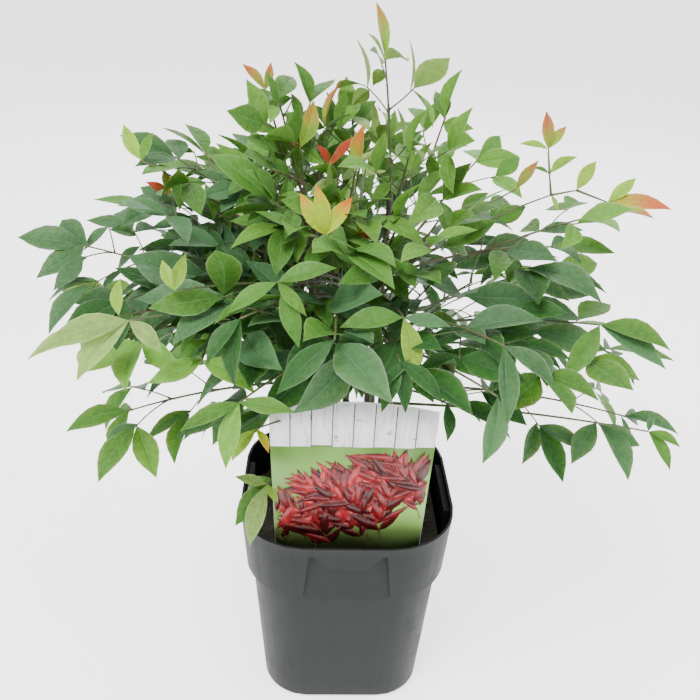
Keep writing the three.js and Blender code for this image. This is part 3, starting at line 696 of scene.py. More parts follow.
def plan_shoot(root, blades, start=None):
    """A young shoot, on a stem of its own from the nearest cane, or from another shoot."""
    root = np.array(root, dtype=float)
    if start:
        foot = np.array(start, dtype=float)
    else:
        curve = cane_curve(nearest_cane(math.degrees(math.atan2(root[1], root[0])) % 360))
        foot = cane_point(curve, min(root[2] - SHOOT.drop, SHOOT.foot))
    crest = (foot + root) / 2 + UP * (0 if start else SHOOT.lift)
    spray = Spray((foot, crest, root), sheathed=not start, slim=SHOOT.slim)
    for bearing, rise, length, tint in blades:
        along = turned(heading(bearing), UP, rise)
        face = squared(unit(np.array(SHOOT.face) * (math.sin(bearing + length), 1, 1)), along)
        pose = Pose(root, along, face, length)
        seed = bearing * SEED.of_leaf + length * SEED.attempt
        spray.leaflets.append(Leaflet(None, pose, 0, seed, tint, 1, pose))
    return spray


def node_corners(name):
    mesh = NODES[name].data
    corners = np.zeros(len(mesh.vertices) * 3)
    mesh.vertices.foreach_get("co", corners)
    return corners.reshape(-1, 3) / MM


def standing_pose(leaflet, corners):
    """The try at which the solid of this compound leaf has the leaflet, found by its tip."""
    for attempt in range(LEAFLET.tries):
        pose = pose_leaflet(leaflet, attempt)
        tip = pose.place + pose.along * pose.length
        if np.min(np.linalg.norm(corners - tip, axis=1)) < MATCH:
            return pose
    return None


def settle(leaflet, draw):
    """Turns a leaflet's face by the light, and paints it a tint darker deep in the shrub, as painted
    shade.
    """
    place, along, up, _ = leaflet.pose
    distance = np.linalg.norm(place[:2])
    up = up + place * (1, 1, 0) / distance * POSTURE.outward - AWAY * POSTURE.front
    up = spun(squared(up, along), along, around(draw, 0, POSTURE.roll))
    leaflet.pose = leaflet.pose._replace(up=up)
    # Painted shade: a darker tint deep in the shrub and near its foot
    for reach, level in DEEP_IN:
        if distance < reach and place[2] < level:
            leaflet.tint = SHADE_STEPS.get(leaflet.tint, leaflet.tint)


def plan_plant():
    """Every spray, with its leaflets as they stand."""
    leaves = []
    for i, tier in enumerate(TIERS):
        for k, leaf in enumerate(tier.leaves):
            cane = CANES[k] if tier.start is None else nearest_cane(leaf[0])
            spray = compound_leaf(tier, leaf, cane, SEED.first + SEED.tier * i + SEED.leaf * k)
            if tier.name:
                spray.name = f"{tier.name}_leaf_{k + 1}"
                corners = node_corners(spray.name)
                for leaflet in spray.leaflets:
                    leaflet.pose = standing_pose(leaflet, corners)
            spray.drop(covers_print)
            leaves.append(spray)
    shoots = [plan_shoot(*shoot) for shoot in SHOOTS]
    give_way(leaves, shoots)
    grow_finer(leaves, shoots)
    draw = stream(STRAY.stream)
    for spray in shoots + leaves:
        for leaflet in spray.leaflets:
            if draw(0, 1) < STRAY.share and spray.tints:
                leaflet.tint = STRAYS.get(leaflet.tint, leaflet.tint)
    for spray in leaves:
        for leaflet in spray.leaflets:
            settle(leaflet, draw)
    return [spray for spray in shoots + leaves if spray.leaflets]


# ---- Shader arithmetic


def binary(operation):
    """An operator of sockets and its reflected form."""
    return (
        lambda self, other: self.board.maths(operation, self, other),
        lambda self, other: self.board.maths(operation, other, self),
    )


def unary(operation):
    return lambda self: self.board.maths(operation, self)


class Tone:
    """One socket of a material, to be written in sums and products."""

    def __init__(self, board, socket):
        self.board, self.socket = board, socket

    __add__, __radd__ = binary("ADD")
    __sub__, __rsub__ = binary("SUBTRACT")
    __mul__, __rmul__ = binary("MULTIPLY")
    __truediv__, __rtruediv__ = binary("DIVIDE")
    __abs__, sine, floor = unary("ABSOLUTE"), unary("SINE"), unary("FLOOR")

    def ramp(self, low, high):
        """0 below low and 1 above high, smooth between; low may be the larger."""
        sockets = {"Value": self, "From Min": low, "From Max": high}
        return self.board.node("ShaderNodeMapRange", {"interpolation_type": "SMOOTHSTEP"}, sockets)


class Board:
    """The shader nodes of a material or a world, laid by one method."""

    def __init__(self, owner, shader="BSDF_PRINCIPLED"):
        owner.use_nodes = True
        self.owner, self.tree = owner, owner.node_tree
        self.shader = self.first(shader)

    def first(self, kind):
        return next(n for n in self.tree.nodes if n.type == kind)

    def node(self, kind, settings=None, sockets=None, output=0):
        made = self.tree.nodes.new(kind)
        for key, value in (settings or {}).items():
            setattr(made, key, value)
        for key, value in (sockets or {}).items():
            self.feed(made.inputs[key], value)
        return Tone(self, made.outputs[output])

    def feed(self, socket, value):
        if isinstance(value, Tone):
            self.tree.links.new(value.socket, socket)
        elif socket.type == "RGBA" and len(value) == 3:
            socket.default_value = (*value, 1.0)
        else:
            socket.default_value = value

    def set(self, **sockets):
        for key, value in sockets.items():
            self.feed(self.shader.inputs[key.replace("_", " ")], value)

    def maths(self, operation, *values):
        return self.node("ShaderNodeMath", {"operation": operation}, dict(enumerate(values)))

    def place(self):
        return self.node("ShaderNodeTexCoord", output="Object")

    def split(self, vector):
        parts = self.node("ShaderNodeSeparateXYZ", None, {0: vector}).socket.node.outputs
        return [Tone(self, part) for part in parts]

    def noise(self, vector, scale, detail=2.0, roughness=0.5):
        sockets = {"Vector": vector, "Scale": scale, "Detail": detail, "Roughness": roughness}
        return self.node("ShaderNodeTexNoise", None, sockets)

    def strands(self, vector, across, along, *noise):
        """Noise drawn out upwards."""
        drawn = self.node("ShaderNodeMapping", None, {"Vector": vector, "Scale": (across, across, along)})
        return self.noise(drawn, *noise)

    def blend(self, share, first, second):
        return self.node("ShaderNodeMix", {"data_type": "RGBA"}, {0: share, 6: first, 7: second}, output=2)

    def bump(self, height, strength, distance):
        sockets = {"Height": height, "Strength": strength, "Distance": distance}
        return self.node("ShaderNodeBump", None, sockets)


def shade(colour, factor, lift=0):
    """A lighter or darker shade of a colour."""
    return tuple(min(1, c * factor + lift) for c in colour)


# ---- Making meshes


def deselect():
    if bpy.context.object and bpy.context.object.mode != "OBJECT":
        bpy.ops.object.mode_set(mode="OBJECT")
    bpy.ops.object.select_all(action="DESELECT")


def activate(obj):
    deselect()
    obj.select_set(True)
    bpy.context.view_layer.objects.active = obj


@contextmanager
def edited(obj):
    """Edit mode on an object whose whole mesh is selected."""
    activate(obj)
    bpy.ops.object.mode_set(mode="EDIT")
    bpy.ops.mesh.select_all(action="SELECT")
    yield
    bpy.ops.object.mode_set(mode="OBJECT")


def select_where(obj, kind, test):
    """Selects only the edges or faces that pass a test, in edit mode."""
    bpy.ops.mesh.select_mode(type=kind)
    bpy.ops.mesh.select_all(action="DESELECT")
    edit = bmesh.from_edit_mesh(obj.data)
    for element in edit.edges if kind == "EDGE" else edit.faces:
        element.select_set(test(element))
    bmesh.update_edit_mesh(obj.data)


def modify(obj, kind, **settings):
    """Applies a modifier to an object."""
    activate(obj)
    modifier = obj.modifiers.new(kind.lower(), kind)
    for key, value in settings.items():
        setattr(modifier, key, value)
    bpy.ops.object.modifier_apply(modifier=modifier.name)


def roughen(obj, name, size, detail, strength, level, group=""):
    """Moves an object's surface in and out by a cloudy relief."""
    clouds = bpy.data.textures.new(name, "CLOUDS")
    clouds.noise_scale = size * MM
    clouds.noise_depth = detail
    modify(obj, "DISPLACE", texture=clouds, strength=strength, mid_level=level, vertex_group=group)
    bpy.ops.object.shade_smooth()


def finished(obj, name, material, nodes=()):
    """Names a piece, sets its place in its mesh, and lets it ride on the plant's one body."""
    activate(obj)
    bpy.ops.object.transform_apply(location=True, rotation=True, scale=True)
    obj.name = name
    obj.data.name = name
    obj.data.materials.clear()
    obj.data.materials.append(material)
    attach(obj, "root")
    if nodes:
        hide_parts(*nodes)


def copy_of_node(name):
    """A copy of a solid, with its loose triangles merged and its flat faces made whole."""
    obj = bpy.data.objects.new(f"{name}_copy", NODES[name].data.copy())
    bpy.context.scene.collection.objects.link(obj)
    with edited(obj):
        bpy.ops.mesh.remove_doubles(threshold=MERGE * MM)
        bpy.ops.mesh.dissolve_limited(angle_limit=math.radians(FLAT))
    return obj


def joined_mesh(name, parts, patterns=()):
    """One mesh of parts, each corners in millimetres and faces, with the corners' places on a pattern."""
    faces, base = [], 0
    for corners, part_faces in parts:
        faces += [tuple(base + i for i in face) for face in part_faces]
        base += len(corners)
    mesh = bpy.data.meshes.new(name)
    mesh.from_pydata(np.concatenate([corners for corners, _ in parts]) * MM, [], faces)
    if patterns:
        loops = np.zeros(len(mesh.loops), dtype=np.int32)
        mesh.loops.foreach_get("vertex_index", loops)
        mesh.uv_layers.new(name="pattern").data.foreach_set("uv", np.concatenate(patterns)[loops].ravel())
    mesh.polygons.foreach_set("use_smooth", [True] * len(mesh.polygons))
    mesh.update()
    obj = bpy.data.objects.new(name, mesh)
    bpy.context.scene.collection.objects.link(obj)
    return obj


def tube(points, radii, sides):
    """A closed round limb through points, with its own radius at each."""
    points = np.array(points)
    along = np.gradient(points, axis=0)
    along /= np.linalg.norm(along, axis=1)[:, None]
    side = unit(np.cross(along[0], UP if abs(along[0][2]) < UPRIGHT else heading(0)))
    turns = 2 * np.pi * np.arange(sides) / sides
    rings = []
    for point, way, radius in zip(points, along, radii):
        side = squared(side, way)
        over = np.cross(way, side)
        rings.append(point + radius * (np.outer(np.cos(turns), side) + np.outer(np.sin(turns), over)))
    corners = np.concatenate([*rings, points[:1], points[-1:]])
    first, last = len(corners) - 2, len(corners) - 1
    top = (len(rings) - 1) * sides
    faces = []
    for i in range(sides):
        n = (i + 1) % sides
        faces += [(k + i, k + n, k + sides + n, k + sides + i) for k in range(0, top, sides)]
        faces += [(first, n, i), (last, top + i, top + n)]
    return corners, faces


def bulge(distance, width):
    """1 where the distance is 0, falling away over a width."""
    return np.exp(-((distance / width) ** 2))


# ---- The label's print, on a card that leans forward


def arch_level(x):
    rise = LABEL.apex - LABEL.shoulder
    radius = (LABEL.half ** 2 + rise**2) / (2 * rise)
    return LABEL.apex - radius + math.sqrt(radius**2 - x**2)


def card_half(level):
    share = (level - LABEL.foot_level) / (LABEL.shoulder - LABEL.foot_level)
    return LABEL.foot_half + (LABEL.half - LABEL.foot_half) * share


def on_lawn(x, level):
    """Whether a point is on the card below the boards, and off its edge."""
    low, high = PRINT.foot + PRINT.foot_margin, PRINT.horizon - PRINT.margin
    return low < level < high and abs(x) < card_half(level) - PRINT.margin


def on_card(x, level, lift):
    """A point of the card's face, lifted off it, in the plant's frame."""
    lean = math.radians(LABEL.lean)
    out, rise = -LABEL.face - lift, level - LABEL.front_level
    y = out * math.cos(lean) - rise * math.sin(lean)
    z = out * math.sin(lean) + rise * math.cos(lean)
    return (x, LABEL.front + y, LABEL.front_level + z)


def printed(outline, low, high):
    """A thin closed plate on the card, from an outline that runs counterclockwise."""
    number = len(outline)
    corners = [on_card(x, level, lift) for lift in (low, high) for x, level in outline]
    faces = [tuple(range(number, 2 * number)), tuple(range(number - 1, -1, -1))]
    faces += [(i, (i + 1) % number, (i + 1) % number + number, i + number) for i in range(number)]
    return np.array(corners), faces


def arched(left, right, low, inset, steps, lifts):
    """A plate whose top follows the card's arch."""
    top = [(x, arch_level(x) - inset) for x in np.linspace(right, left, steps)]
    return printed([(left, low), (right, low), *top], *lifts)


def print_board(draw, i, boards):
    """One painted board under the arch, short of its neighbours and of the card's edges."""
    wide, edge = 2 * LABEL.half / boards, LABEL.half - PRINT.margin
    left = -LABEL.half + i * wide + PRINT.gap / 2
    left, right = max(left, -edge), min(left + wide - PRINT.gap, edge)
    low = PRINT.horizon + around(draw, 0, PRINT.uneven)
    return arched(left, right, low, PRINT.board_in, PRINT.board_steps, PRINT.board_lift)


def print_backing():
    """What shows between the boards."""
    half = LABEL.half - PRINT.lawn_in[1] - PRINT.backing_edge
    low = PRINT.horizon - PRINT.backing_edge
    return arched(-half, half, low, PRINT.backing_in, PRINT.backing_steps, PRINT.flat_lift)


def print_lawn():
    foot, half = LABEL.foot_half - PRINT.lawn_in[0], LABEL.half - PRINT.lawn_in[1]
    low, high = PRINT.foot, PRINT.horizon
    return printed([(-foot, low), (foot, low), (half, high), (-half, high)], *PRINT.flat_lift)


def print_leaf(x, level, turn, length, width):
    """The outline of one printed leaf."""
    half = [(along * length, across * width / 2 * length) for along, across in LEAF_SIDE]
    outline = [(0, 0), *((a, -b) for a, b in half), (length, 0), *reversed(half)]
    cos, sin = math.cos(turn), math.sin(turn)
    return [(x + a * cos - b * sin, level + a * sin + b * cos) for a, b in outline]


def print_spray(draw, spray, shades):
    """A printed spray: a curved stem with leaves to both sides and one at its end, sorted by shade."""
    share, spread, crowd = PRINT_SPRAY.start
    at = LABEL.foot_half * (share - spread * draw(0, 1) ** crowd)
    rise = draw(*PRINT_SPRAY.rise) + max(at, 0) * PRINT_SPRAY.right_rise
    lean, long = math.radians(draw(*PRINT_SPRAY.lean)), draw(*PRINT_SPRAY.long)
    near, far = PRINT_SPRAY.bend
    steps = [
        (
            at + long * t * math.sin(lean * (near + far * t)),
            PRINT_SPRAY.level + rise + long * t * math.cos(lean * t),
        )
        for t in np.linspace(0, 1, PRINT_SPRAY.steps)
    ]
    layer = PRINT_SPRAY.layer + PRINT_SPRAY.layer_step * (spray % PRINT_SPRAY.layers)
    for (x0, y0), (x1, y1) in zip(steps, steps[1:]):
        way = math.atan2(y1 - y0, x1 - x0)
        for side in (-1, 1, 0) if (x1, y1) == steps[-1] else (-1, 1):
            turn = way + side * math.radians(draw(*PRINT_SPRAY.turn))
            chance = draw(0, 1)
            light = "light" if chance < PRINT_SPRAY.light else "red"
            ink = "dark" if chance < PRINT_SPRAY.dark else light
            leaf = print_leaf(x1, y1, turn, draw(*PRINT_SPRAY.leaf_long), draw(*PRINT_SPRAY.leaf_wide))
            if all(on_lawn(*corner) for corner in leaf):
                lift = layer + draw(0, PRINT_SPRAY.leaf_lift)
                shades[ink].append(printed(leaf, lift, lift + PRINT_SPRAY.leaf_thick))
        if on_lawn(x0, y0) and on_lawn(x1, y1):
            nx, ny = -math.sin(way) * PRINT_SPRAY.stem_half, math.cos(way) * PRINT_SPRAY.stem_half
            stem = [(x0 - nx, y0 - ny), (x1 - nx, y1 - ny), (x1 + nx, y1 + ny), (x0 + nx, y0 + ny)]
            shades["stem"].append(printed(stem, *(layer + lift for lift in PRINT_SPRAY.stem_lift)))


# ---- Leaflets


def leaflet_faces():
    """Faces of a leaflet, whose corners are its root, a ring at each station and its tip.

    A ring goes from margin over midrib to margin and back below. The faces are cut alike above and below,
    from the middle out towards the tip, so the underside stays hidden.
    """
    ring = len(ACROSS) + 1
    tip = 1 + ring * len(STATIONS)
    faces = []
    for j in range(ring):
        n = (j + 1) % ring
        faces.append((0, 1 + n, 1 + j))
        faces.append((tip - ring + j, tip - ring + n, tip))
        for near in range(1, tip - ring, ring):
            far = near + ring
            if j % 2:
                faces += [(near + j, near + n, far + n), (near + j, far + n, far + j)]
            else:
                faces += [(near + j, near + n, far + j), (near + n, far + n, far + j)]
    return faces


def widest(lean, drop):
    """The highest value of share**lean * (1 - share)**drop."""
    return (lean / (lean + drop)) ** lean * (drop / (lean + drop)) ** drop


LEAFLET_FACES = leaflet_faces()
# For each corner its share of the length, and its place from one margin over the midrib to the other
RINGS_PATTERN = [(share, v) for share in STATIONS for v in (0, 0.5, 1, 0.5)]
LEAFLET_PATTERN = np.array([(0, 0.5), *RINGS_PATTERN, (1, 0.5)])


def leaflet_mesh(leaflet, width, fold):
    """A folded, pointed blade with its own curl, as one closed body, and its places on the pattern."""
    draw = stream(leaflet.seed)
    own = Values(**{key: draw(*bounds) for key, bounds in BLADE_DRAWS.items()})
    place, along, face, length = leaflet.pose
    across = np.cross(along, face)
    fold = math.tan(fold * own.fold)
    half = width * own.width / 2
    lean, drop = BLADE.lean, BLADE.drop

    def spine(share):
        height = BLADE.arch * share * (1 - share) - own.curl * share**3
        aside = across * own.bow * 4 * share * (1 - share)
        return place + length * (along * share + face * height + aside)

    corners = [place]
    for share in STATIONS:
        wide = half * length * share**lean * (1 - share) ** drop / widest(lean, drop)
        turn = math.radians(own.twist) * share
        side = across * math.cos(turn) + face * math.sin(turn)
        over = face * math.cos(turn) - across * math.sin(turn)
        for s in ACROSS:
            wave = own.wave * math.sin(BLADE.ripples * share + own.phase + 2 * s)
            corners.append(spine(share) + wide * (side * s + over * (abs(s) * (fold + wave))))
        corners.append(corners[-2] - over * BLADE.thickness)
    corners.append(spine(1.0))
    band = math.floor(own.tone * BLADE.tones) * 2
    return (np.array(corners), LEAFLET_FACES), LEAFLET_PATTERN + (band, 0)


# ---- Properties


def colour(name, description, default):
    return FloatVectorProperty(
        name=name, description=description, default=default, subtype="COLOR", min=0, max=1
    )


class PotProperties(PropertyGroup):
    plastic: colour("Plastic", "Colour of the moulded pot", (0.013, 0.0145, 0.014))
    edge: FloatProperty(
        name="Edge Round", description="Radius of the moulded edges", default=0.5 * MM, unit="LENGTH"
    )
    soil: colour("Soil", "Colour of the moist peat", (0.022, 0.016, 0.011))
    crumbs: IntProperty(name="Crumbs", description="Bark crumbs on the soil", default=420, min=0)


class LabelProperties(PropertyGroup):
    card: colour("Card", "Colour of the label's painted boards", (0.72, 0.73, 0.72))
    boards: IntProperty(name="Boards", description="Painted boards printed side by side", default=8, min=1)
    sprays: IntProperty(name="Sprays", description="Printed sprays of leaves", default=46, min=0)
    print_red: colour("Print Red", "Colour of the printed leaves", (0.19, 0.011, 0.013))
    print_green: colour("Print Green", "Colour of the printed lawn", (0.12, 0.27, 0.035))


class StemProperties(PropertyGroup):
    cane: colour("Cane", "Colour of the canes' bark", (0.055, 0.047, 0.024))
    stalk: colour("Stalk", "Colour of leaf stalks and twigs", (0.052, 0.072, 0.020))
    relief: FloatProperty(
        name="Relief", description="Depth of the bark's furrows", default=0.35 * MM, unit="LENGTH"
    )


class LeafProperties(PropertyGroup):
    width: FloatProperty(
        name="Width", description="Width of a leaflet as a share of its length", default=0.45, min=0.1
    )
    fold: FloatProperty(
        name="Fold", description="Typical fold along the midrib", default=math.radians(13), subtype="ANGLE"
    )


class StageProperties(PropertyGroup):
    floor: colour("Floor", "Colour of the floor", (0.93, 0.93, 0.93))
    backdrop: FloatProperty(name="Backdrop", description="Brightness of the backdrop", default=2.7, min=0)
    glow: FloatProperty(name="Glow", description="Light of the floor itself", default=1.5, min=0)
    light: FloatProperty(name="Light", description="Strength of the soft boxes", default=1.0, min=0)
    lens: FloatProperty(
        name="Lens", description="Focal length in millimetres", default=41.14, min=1, unit="CAMERA"
    )


GROUPS = {
    "bamboo_pot": PotProperties,
    "bamboo_label": LabelProperties,
    "bamboo_stems": StemProperties,
    "bamboo_leaves": LeafProperties,
    "bamboo_stage": StageProperties,
}


# ---- Materials


def new_board(name):
    return Board(bpy.data.materials.new(name))


def pot_material(plastic):
    """Matt plastic, dusty and streaked, with a painted highlight at the rim and the foot and painted shade
    inside.
    """
    board = new_board("pot_plastic")
    place = board.place()
    level = board.split(place)[2]
    dust = board.noise(place, 60.0, 6.0, 0.65).ramp(0.45, 0.8)
    streaks = board.strands(place, 60.0, 4.0, 3.0, 4.0)
    specks = board.noise(place, 900.0).ramp(0.72, 0.78)
    # Painted highlight: the plastic is painted lighter towards the rim and the foot
    rim_and_foot_light = level.ramp(*POT.worn_rim) * 0.25 + level.ramp(*POT.worn_foot) * 0.2
    base = board.blend(dust * 0.2 + rim_and_foot_light + streaks * 0.1, plastic, shade(plastic, 2.2))
    base = board.blend(specks * 0.3, base, shade(plastic, 4))
    # Painted shade: faces inside the pot are painted darker
    inner = board.node("ShaderNodeAttribute", {"attribute_name": "inner"}, output="Fac")
    base = board.blend(inner, base, shade(plastic, 0.35))
    relief = board.noise(place, 2200.0) + streaks * 0.4
    board.set(Base_Color=base, Roughness=0.5 + dust * 0.15 - streaks * 0.08, Specular_IOR_Level=0.12)
    board.set(Normal=board.bump(relief, 0.25, 0.0002))
    return board.owner


def soil_material(name, peat):
    """Crumbly peat with bits of wood."""
    board = new_board(name)
    place = board.place()
    fine = board.noise(place, 420.0, 8.0, 0.7)
    coarse = board.noise(place, 60.0, 4.0, 0.6)
    base = board.blend(fine.ramp(0.42, 0.68), peat, shade(peat, 3.2))
    base = board.blend(coarse.ramp(0.55, 0.75) * 0.6, base, COLOURS.wood_bits)
    board.set(Base_Color=base, Roughness=0.95 - coarse * 0.2, Normal=board.bump(fine, 0.9, 0.0015))
    return board.owner


def bark_material(bark):
    """Furrowed bark with greener patches."""
    board = new_board("cane_bark")
    place = board.place()
    strands = board.strands(place, 900.0, 60.0, 1.0, 5.0, 0.6)
    patches = board.noise(place, 45.0, 3.0)
    base = board.blend(strands.ramp(0.35, 0.7), shade(bark, 0.45), shade(bark, 1.5))
    base = board.blend(patches.ramp(0.5, 0.7) * 0.5, base, COLOURS.green_bark)
    board.set(Base_Color=base, Roughness=0.75 + patches * 0.15, Normal=board.bump(strands, 0.7, 0.0004))
    return board.owner


def twig_material(stalk):
    board = new_board("twig_skin")
    place = board.place()
    patches = board.noise(place, 30.0, 3.0)
    fine = board.noise(place, 300.0, 3.0)
    base = board.blend(patches.ramp(0.5, 0.72), stalk, COLOURS.stalk_flush)
    base = board.blend(fine.ramp(0.5, 0.7) * 0.4, base, COLOURS.stalk_light)
    board.set(Base_Color=base, Roughness=0.5 + fine * 0.15, Normal=board.bump(fine, 0.3, 0.0002))
    return board.owner


def card_material():
    board = new_board("label_card")
    grime = board.noise(board.place(), 40.0)
    board.set(Base_Color=board.blend(grime * 0.3, COLOURS.card_grime, COLOURS.card), Roughness=0.4)
    return board.owner


def board_material(paint):
    """White paint worn along the grain of old boards."""
    board = new_board("painted_boards")
    place = board.place()
    grain = board.strands(place, 700.0, 22.0, 1.0, 5.0, 0.6)
    chips = board.noise(place, 160.0, 4.0, 0.6)
    base = board.blend(grain.ramp(0.5, 0.72) * 0.6, paint, shade(paint, 0.5))
    base = board.blend(chips.ramp(0.62, 0.7) * 0.75, base, COLOURS.bare_wood)
    board.set(Base_Color=base, Roughness=0.4 + grain * 0.2)
    return board.owner


def lawn_material(green):
    """A soft lawn, painted lighter towards the foot as painted light against the shade of the pot's rim.
    """
    board = new_board("printed_lawn")
    place = board.place()
    soft = board.noise(place, 26.0, 1.0)
    base = board.blend(soft.ramp(0.35, 0.65), green, shade(green, 1.6, 0.03))
    # Painted light: the lawn is lighter towards its foot, against the shade of the pot's rim
    base = board.blend(board.split(place)[2].ramp(*PRINT.near) * 0.8, base, COLOURS.near_lawn)
    board.set(Base_Color=base, Roughness=0.35)
    return board.owner


def ink_material(name, ink):
    board = new_board(name)
    flecks = board.noise(board.place(), 210.0, 3.0)
    base = board.blend(flecks.ramp(0.38, 0.66), shade(ink, 0.6), shade(ink, 1.25))
    board.set(Base_Color=base, Roughness=0.35)
    return board.owner


def leaf_material(tint):
    """A leathery leaflet: mottled, with pale midrib and side veins, a painted highlight along the margin,
    and flushed if it is young.
    """
    upper, *young = TINTS[tint]
    board = new_board(f"leaf_{tint}")
    place = board.place()
    u, v, _ = board.split(board.node("ShaderNodeUVMap", {"uv_map": "pattern"}))
    band = (u / 2).floor()
    tone, along, off = band / BLADE.tones, u - band * 2, abs(v - 0.5) * 2
    blotch = board.noise(place, 38.0, 3.0)
    fine = board.noise(place, 240.0, 3.0)
    cells = board.noise(place, 330.0, 3.0, 0.6).ramp(0.34, 0.66)
    waves = (along * VEINS.rows - off * VEINS.slant).sine()
    veins = waves.ramp(*VEINS.veins) * off.ramp(0.02, 0.2) * 0.35
    midrib = off.ramp(*VEINS.midrib)
    light, rib_and_margin_light = shade(upper, 1.45), shade(upper, 1.5, 0.05)
    base = board.blend(tone * 0.6 + blotch * 0.5 + cells * 0.3 - 0.2, shade(upper, 0.62), light)
    if young:
        share, flushed, begins = young
        flush = along.ramp(begins - 0.3, begins + 0.45) + blotch.ramp(0.35, 0.65) * 0.5 + tone * 0.3 - 0.4
        base = board.blend((flush * share).ramp(0.0, 1.0), base, flushed)
    base = board.blend(veins, base, light)
    base = board.blend(midrib * 0.3, base, rib_and_margin_light)
    # Painted highlight: the margin is painted lighter
    base = board.blend(off.ramp(*VEINS.margin) * 0.55, base, rib_and_margin_light)
    height = cells * 0.5 + fine * 0.2 - midrib * 0.9 - veins * 0.9
    board.set(Base_Color=base, Roughness=0.5 - cells * 0.14 + fine * 0.1 + veins * 0.1)
    board.set(Normal=board.bump(height, 0.5, 0.0007), Specular_IOR_Level=0.14)
    board.set(Subsurface_Weight=0.06, Subsurface_Radius=(0.6, 1.0, 0.2), Subsurface_Scale=0.002)
    return board.owner


# ---- Operators


def upright(edge):
    a, b = (end.co for end in edge.verts)
    return abs((a - b).normalized().z) > UPRIGHT


def at_corner(edge):
    """Whether an edge of the pot is one of those that its round corners are made of."""
    bend = math.degrees(edge.calc_face_angle(0))
    least = POT.least_bend_tall if edge.calc_length() > POT.tall * MM else POT.least_bend
    return upright(edge) and least < bend < POT.most_bend


class BAMBOO_OT_pot(Operator):
    """Build the moulded nursery pot with rounded edges"""

    bl_idname = "bamboo.pot"
    bl_label = "Pot"

    def execute(self, context):
        looks = context.scene.bamboo_pot
        pot = copy_of_node("pot")
        with edited(pot):
            select_where(pot, "EDGE", at_corner)
            bpy.ops.mesh.bevel(offset=POT.corner_round * MM, segments=POT.corner_cuts, affect="EDGES")
        weights = pot.data.attributes.new("bevel_weight_edge", "FLOAT", "EDGE")
        for edge in pot.data.edges:
            levels = [pot.data.vertices[i].co.z for i in edge.vertices]
            soft = all(level > POT.rim * MM or level < POT.foot * MM for level in levels)
            weights.data[edge.index].value = float(soft)
        modify(pot, "BEVEL", width=looks.edge, segments=POT.edge_cuts, limit_method="WEIGHT")
        bpy.ops.object.shade_smooth_by_angle(angle=math.radians(POT.smooth_below))
        modify(pot, "WEIGHTED_NORMAL", keep_sharp=True, weight=POT.normal_weight)
        # Marks the faces inside, which the material paints darker as painted shade
        inner = pot.data.attributes.new("inner", "FLOAT", "FACE")
        for face in pot.data.polygons:
            facing_in = face.normal.dot((face.center.x, face.center.y, 0)) < 0
            inner.data[face.index].value = float(facing_in and face.center.z > POT.floor * MM)
        finished(pot, "pot_shell", pot_material(tuple(looks.plastic)), ["pot"])
        return {"FINISHED"}


class BAMBOO_OT_soil(Operator):
    """Fill the pot with peat, loose on top"""

    bl_idname = "bamboo.soil"
    bl_label = "Soil"

    def execute(self, context):
        low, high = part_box("root_ball")
        gap = SOIL.gap * MM
        deselect()
        bpy.ops.mesh.primitive_cube_add(size=1, location=(low + high) / 2)
        soil = bpy.context.object
        soil.scale = (high.x - low.x - gap, high.y - low.y - gap, high.z - low.z)
        bpy.ops.object.transform_apply(location=True, rotation=True, scale=True)
        with edited(soil):
            select_where(soil, "EDGE", upright)
            bpy.ops.mesh.bevel(offset=SOIL.corner * MM, segments=SOIL.corner_cuts, affect="EDGES")
            select_where(soil, "FACE", lambda face: face.normal.z > UPRIGHT)
            for _ in range(SOIL.rings):
                bpy.ops.mesh.inset(thickness=SOIL.ring * MM)
            bpy.ops.mesh.poke()
            select_where(soil, "FACE", lambda face: face.normal.z < -UPRIGHT)
            bpy.ops.transform.resize(value=(SOIL.foot, SOIL.foot, 1), center_override=(0, 0, low.z))
            select_where(soil, "FACE", lambda face: face.normal.z > UPRIGHT)
            bpy.ops.mesh.subdivide(number_cuts=SOIL.cuts)
        top, half = high.z - SOIL.skin * MM, SOIL.loose_half * MM
        corners = [(v.index, v.co) for v in soil.data.vertices]
        loose = [i for i, at in corners if at.z > top and max(abs(at.x), abs(at.y)) < half]
        soil.vertex_groups.new(name="top").add(loose, 1.0, "REPLACE")
        size, detail, relief, sunk = SOIL.clod
        roughen(soil, "clods", size, detail, relief * MM, sunk, "top")
        material = soil_material("peat", tuple(context.scene.bamboo_pot.soil))
        finished(soil, "soil", material, ["root_ball"])
        return {"FINISHED"}


class BAMBOO_OT_crumbs(Operator):
    """Scatter bark crumbs over the soil"""

    bl_idname = "bamboo.crumbs"
    bl_label = "Crumbs"

    def execute(self, context):
        deselect()
        bpy.ops.mesh.primitive_ico_sphere_add(subdivisions=1, radius=1)
        lump = bpy.context.object
        shape = np.array([v.co for v in lump.data.vertices])
        faces = [tuple(p.vertices) for p in lump.data.polygons]
        bpy.data.objects.remove(lump)
        draw = stream(CRUMB.stream)
        parts = []
        for _ in range(context.scene.bamboo_pot.crumbs):
            turn, out = draw(0, 2 * math.pi), CRUMB.reach * math.sqrt(draw(0, 1))
            size = np.array([draw(*bounds) for bounds in CRUMB.size])
            spin = np.array(Euler([draw(*bounds) for bounds in CRUMB.turn]).to_matrix())
            rough = 1 + CRUMB.rough * np.sin(shape[:, :1] * CRUMB.lumps + turn * CRUMB.lump_shift)
            level = SOIL_LEVEL - CRUMB.sunk + draw(*CRUMB.level)
            at = np.array((out * math.cos(turn), out * math.sin(turn), level))
            parts.append(((shape * rough * size) @ spin.T + at, faces))
        crumbs = joined_mesh("crumbs", parts)
        finished(crumbs, "soil_crumbs", soil_material("bark_crumbs", COLOURS.crumbs))
        return {"FINISHED"}


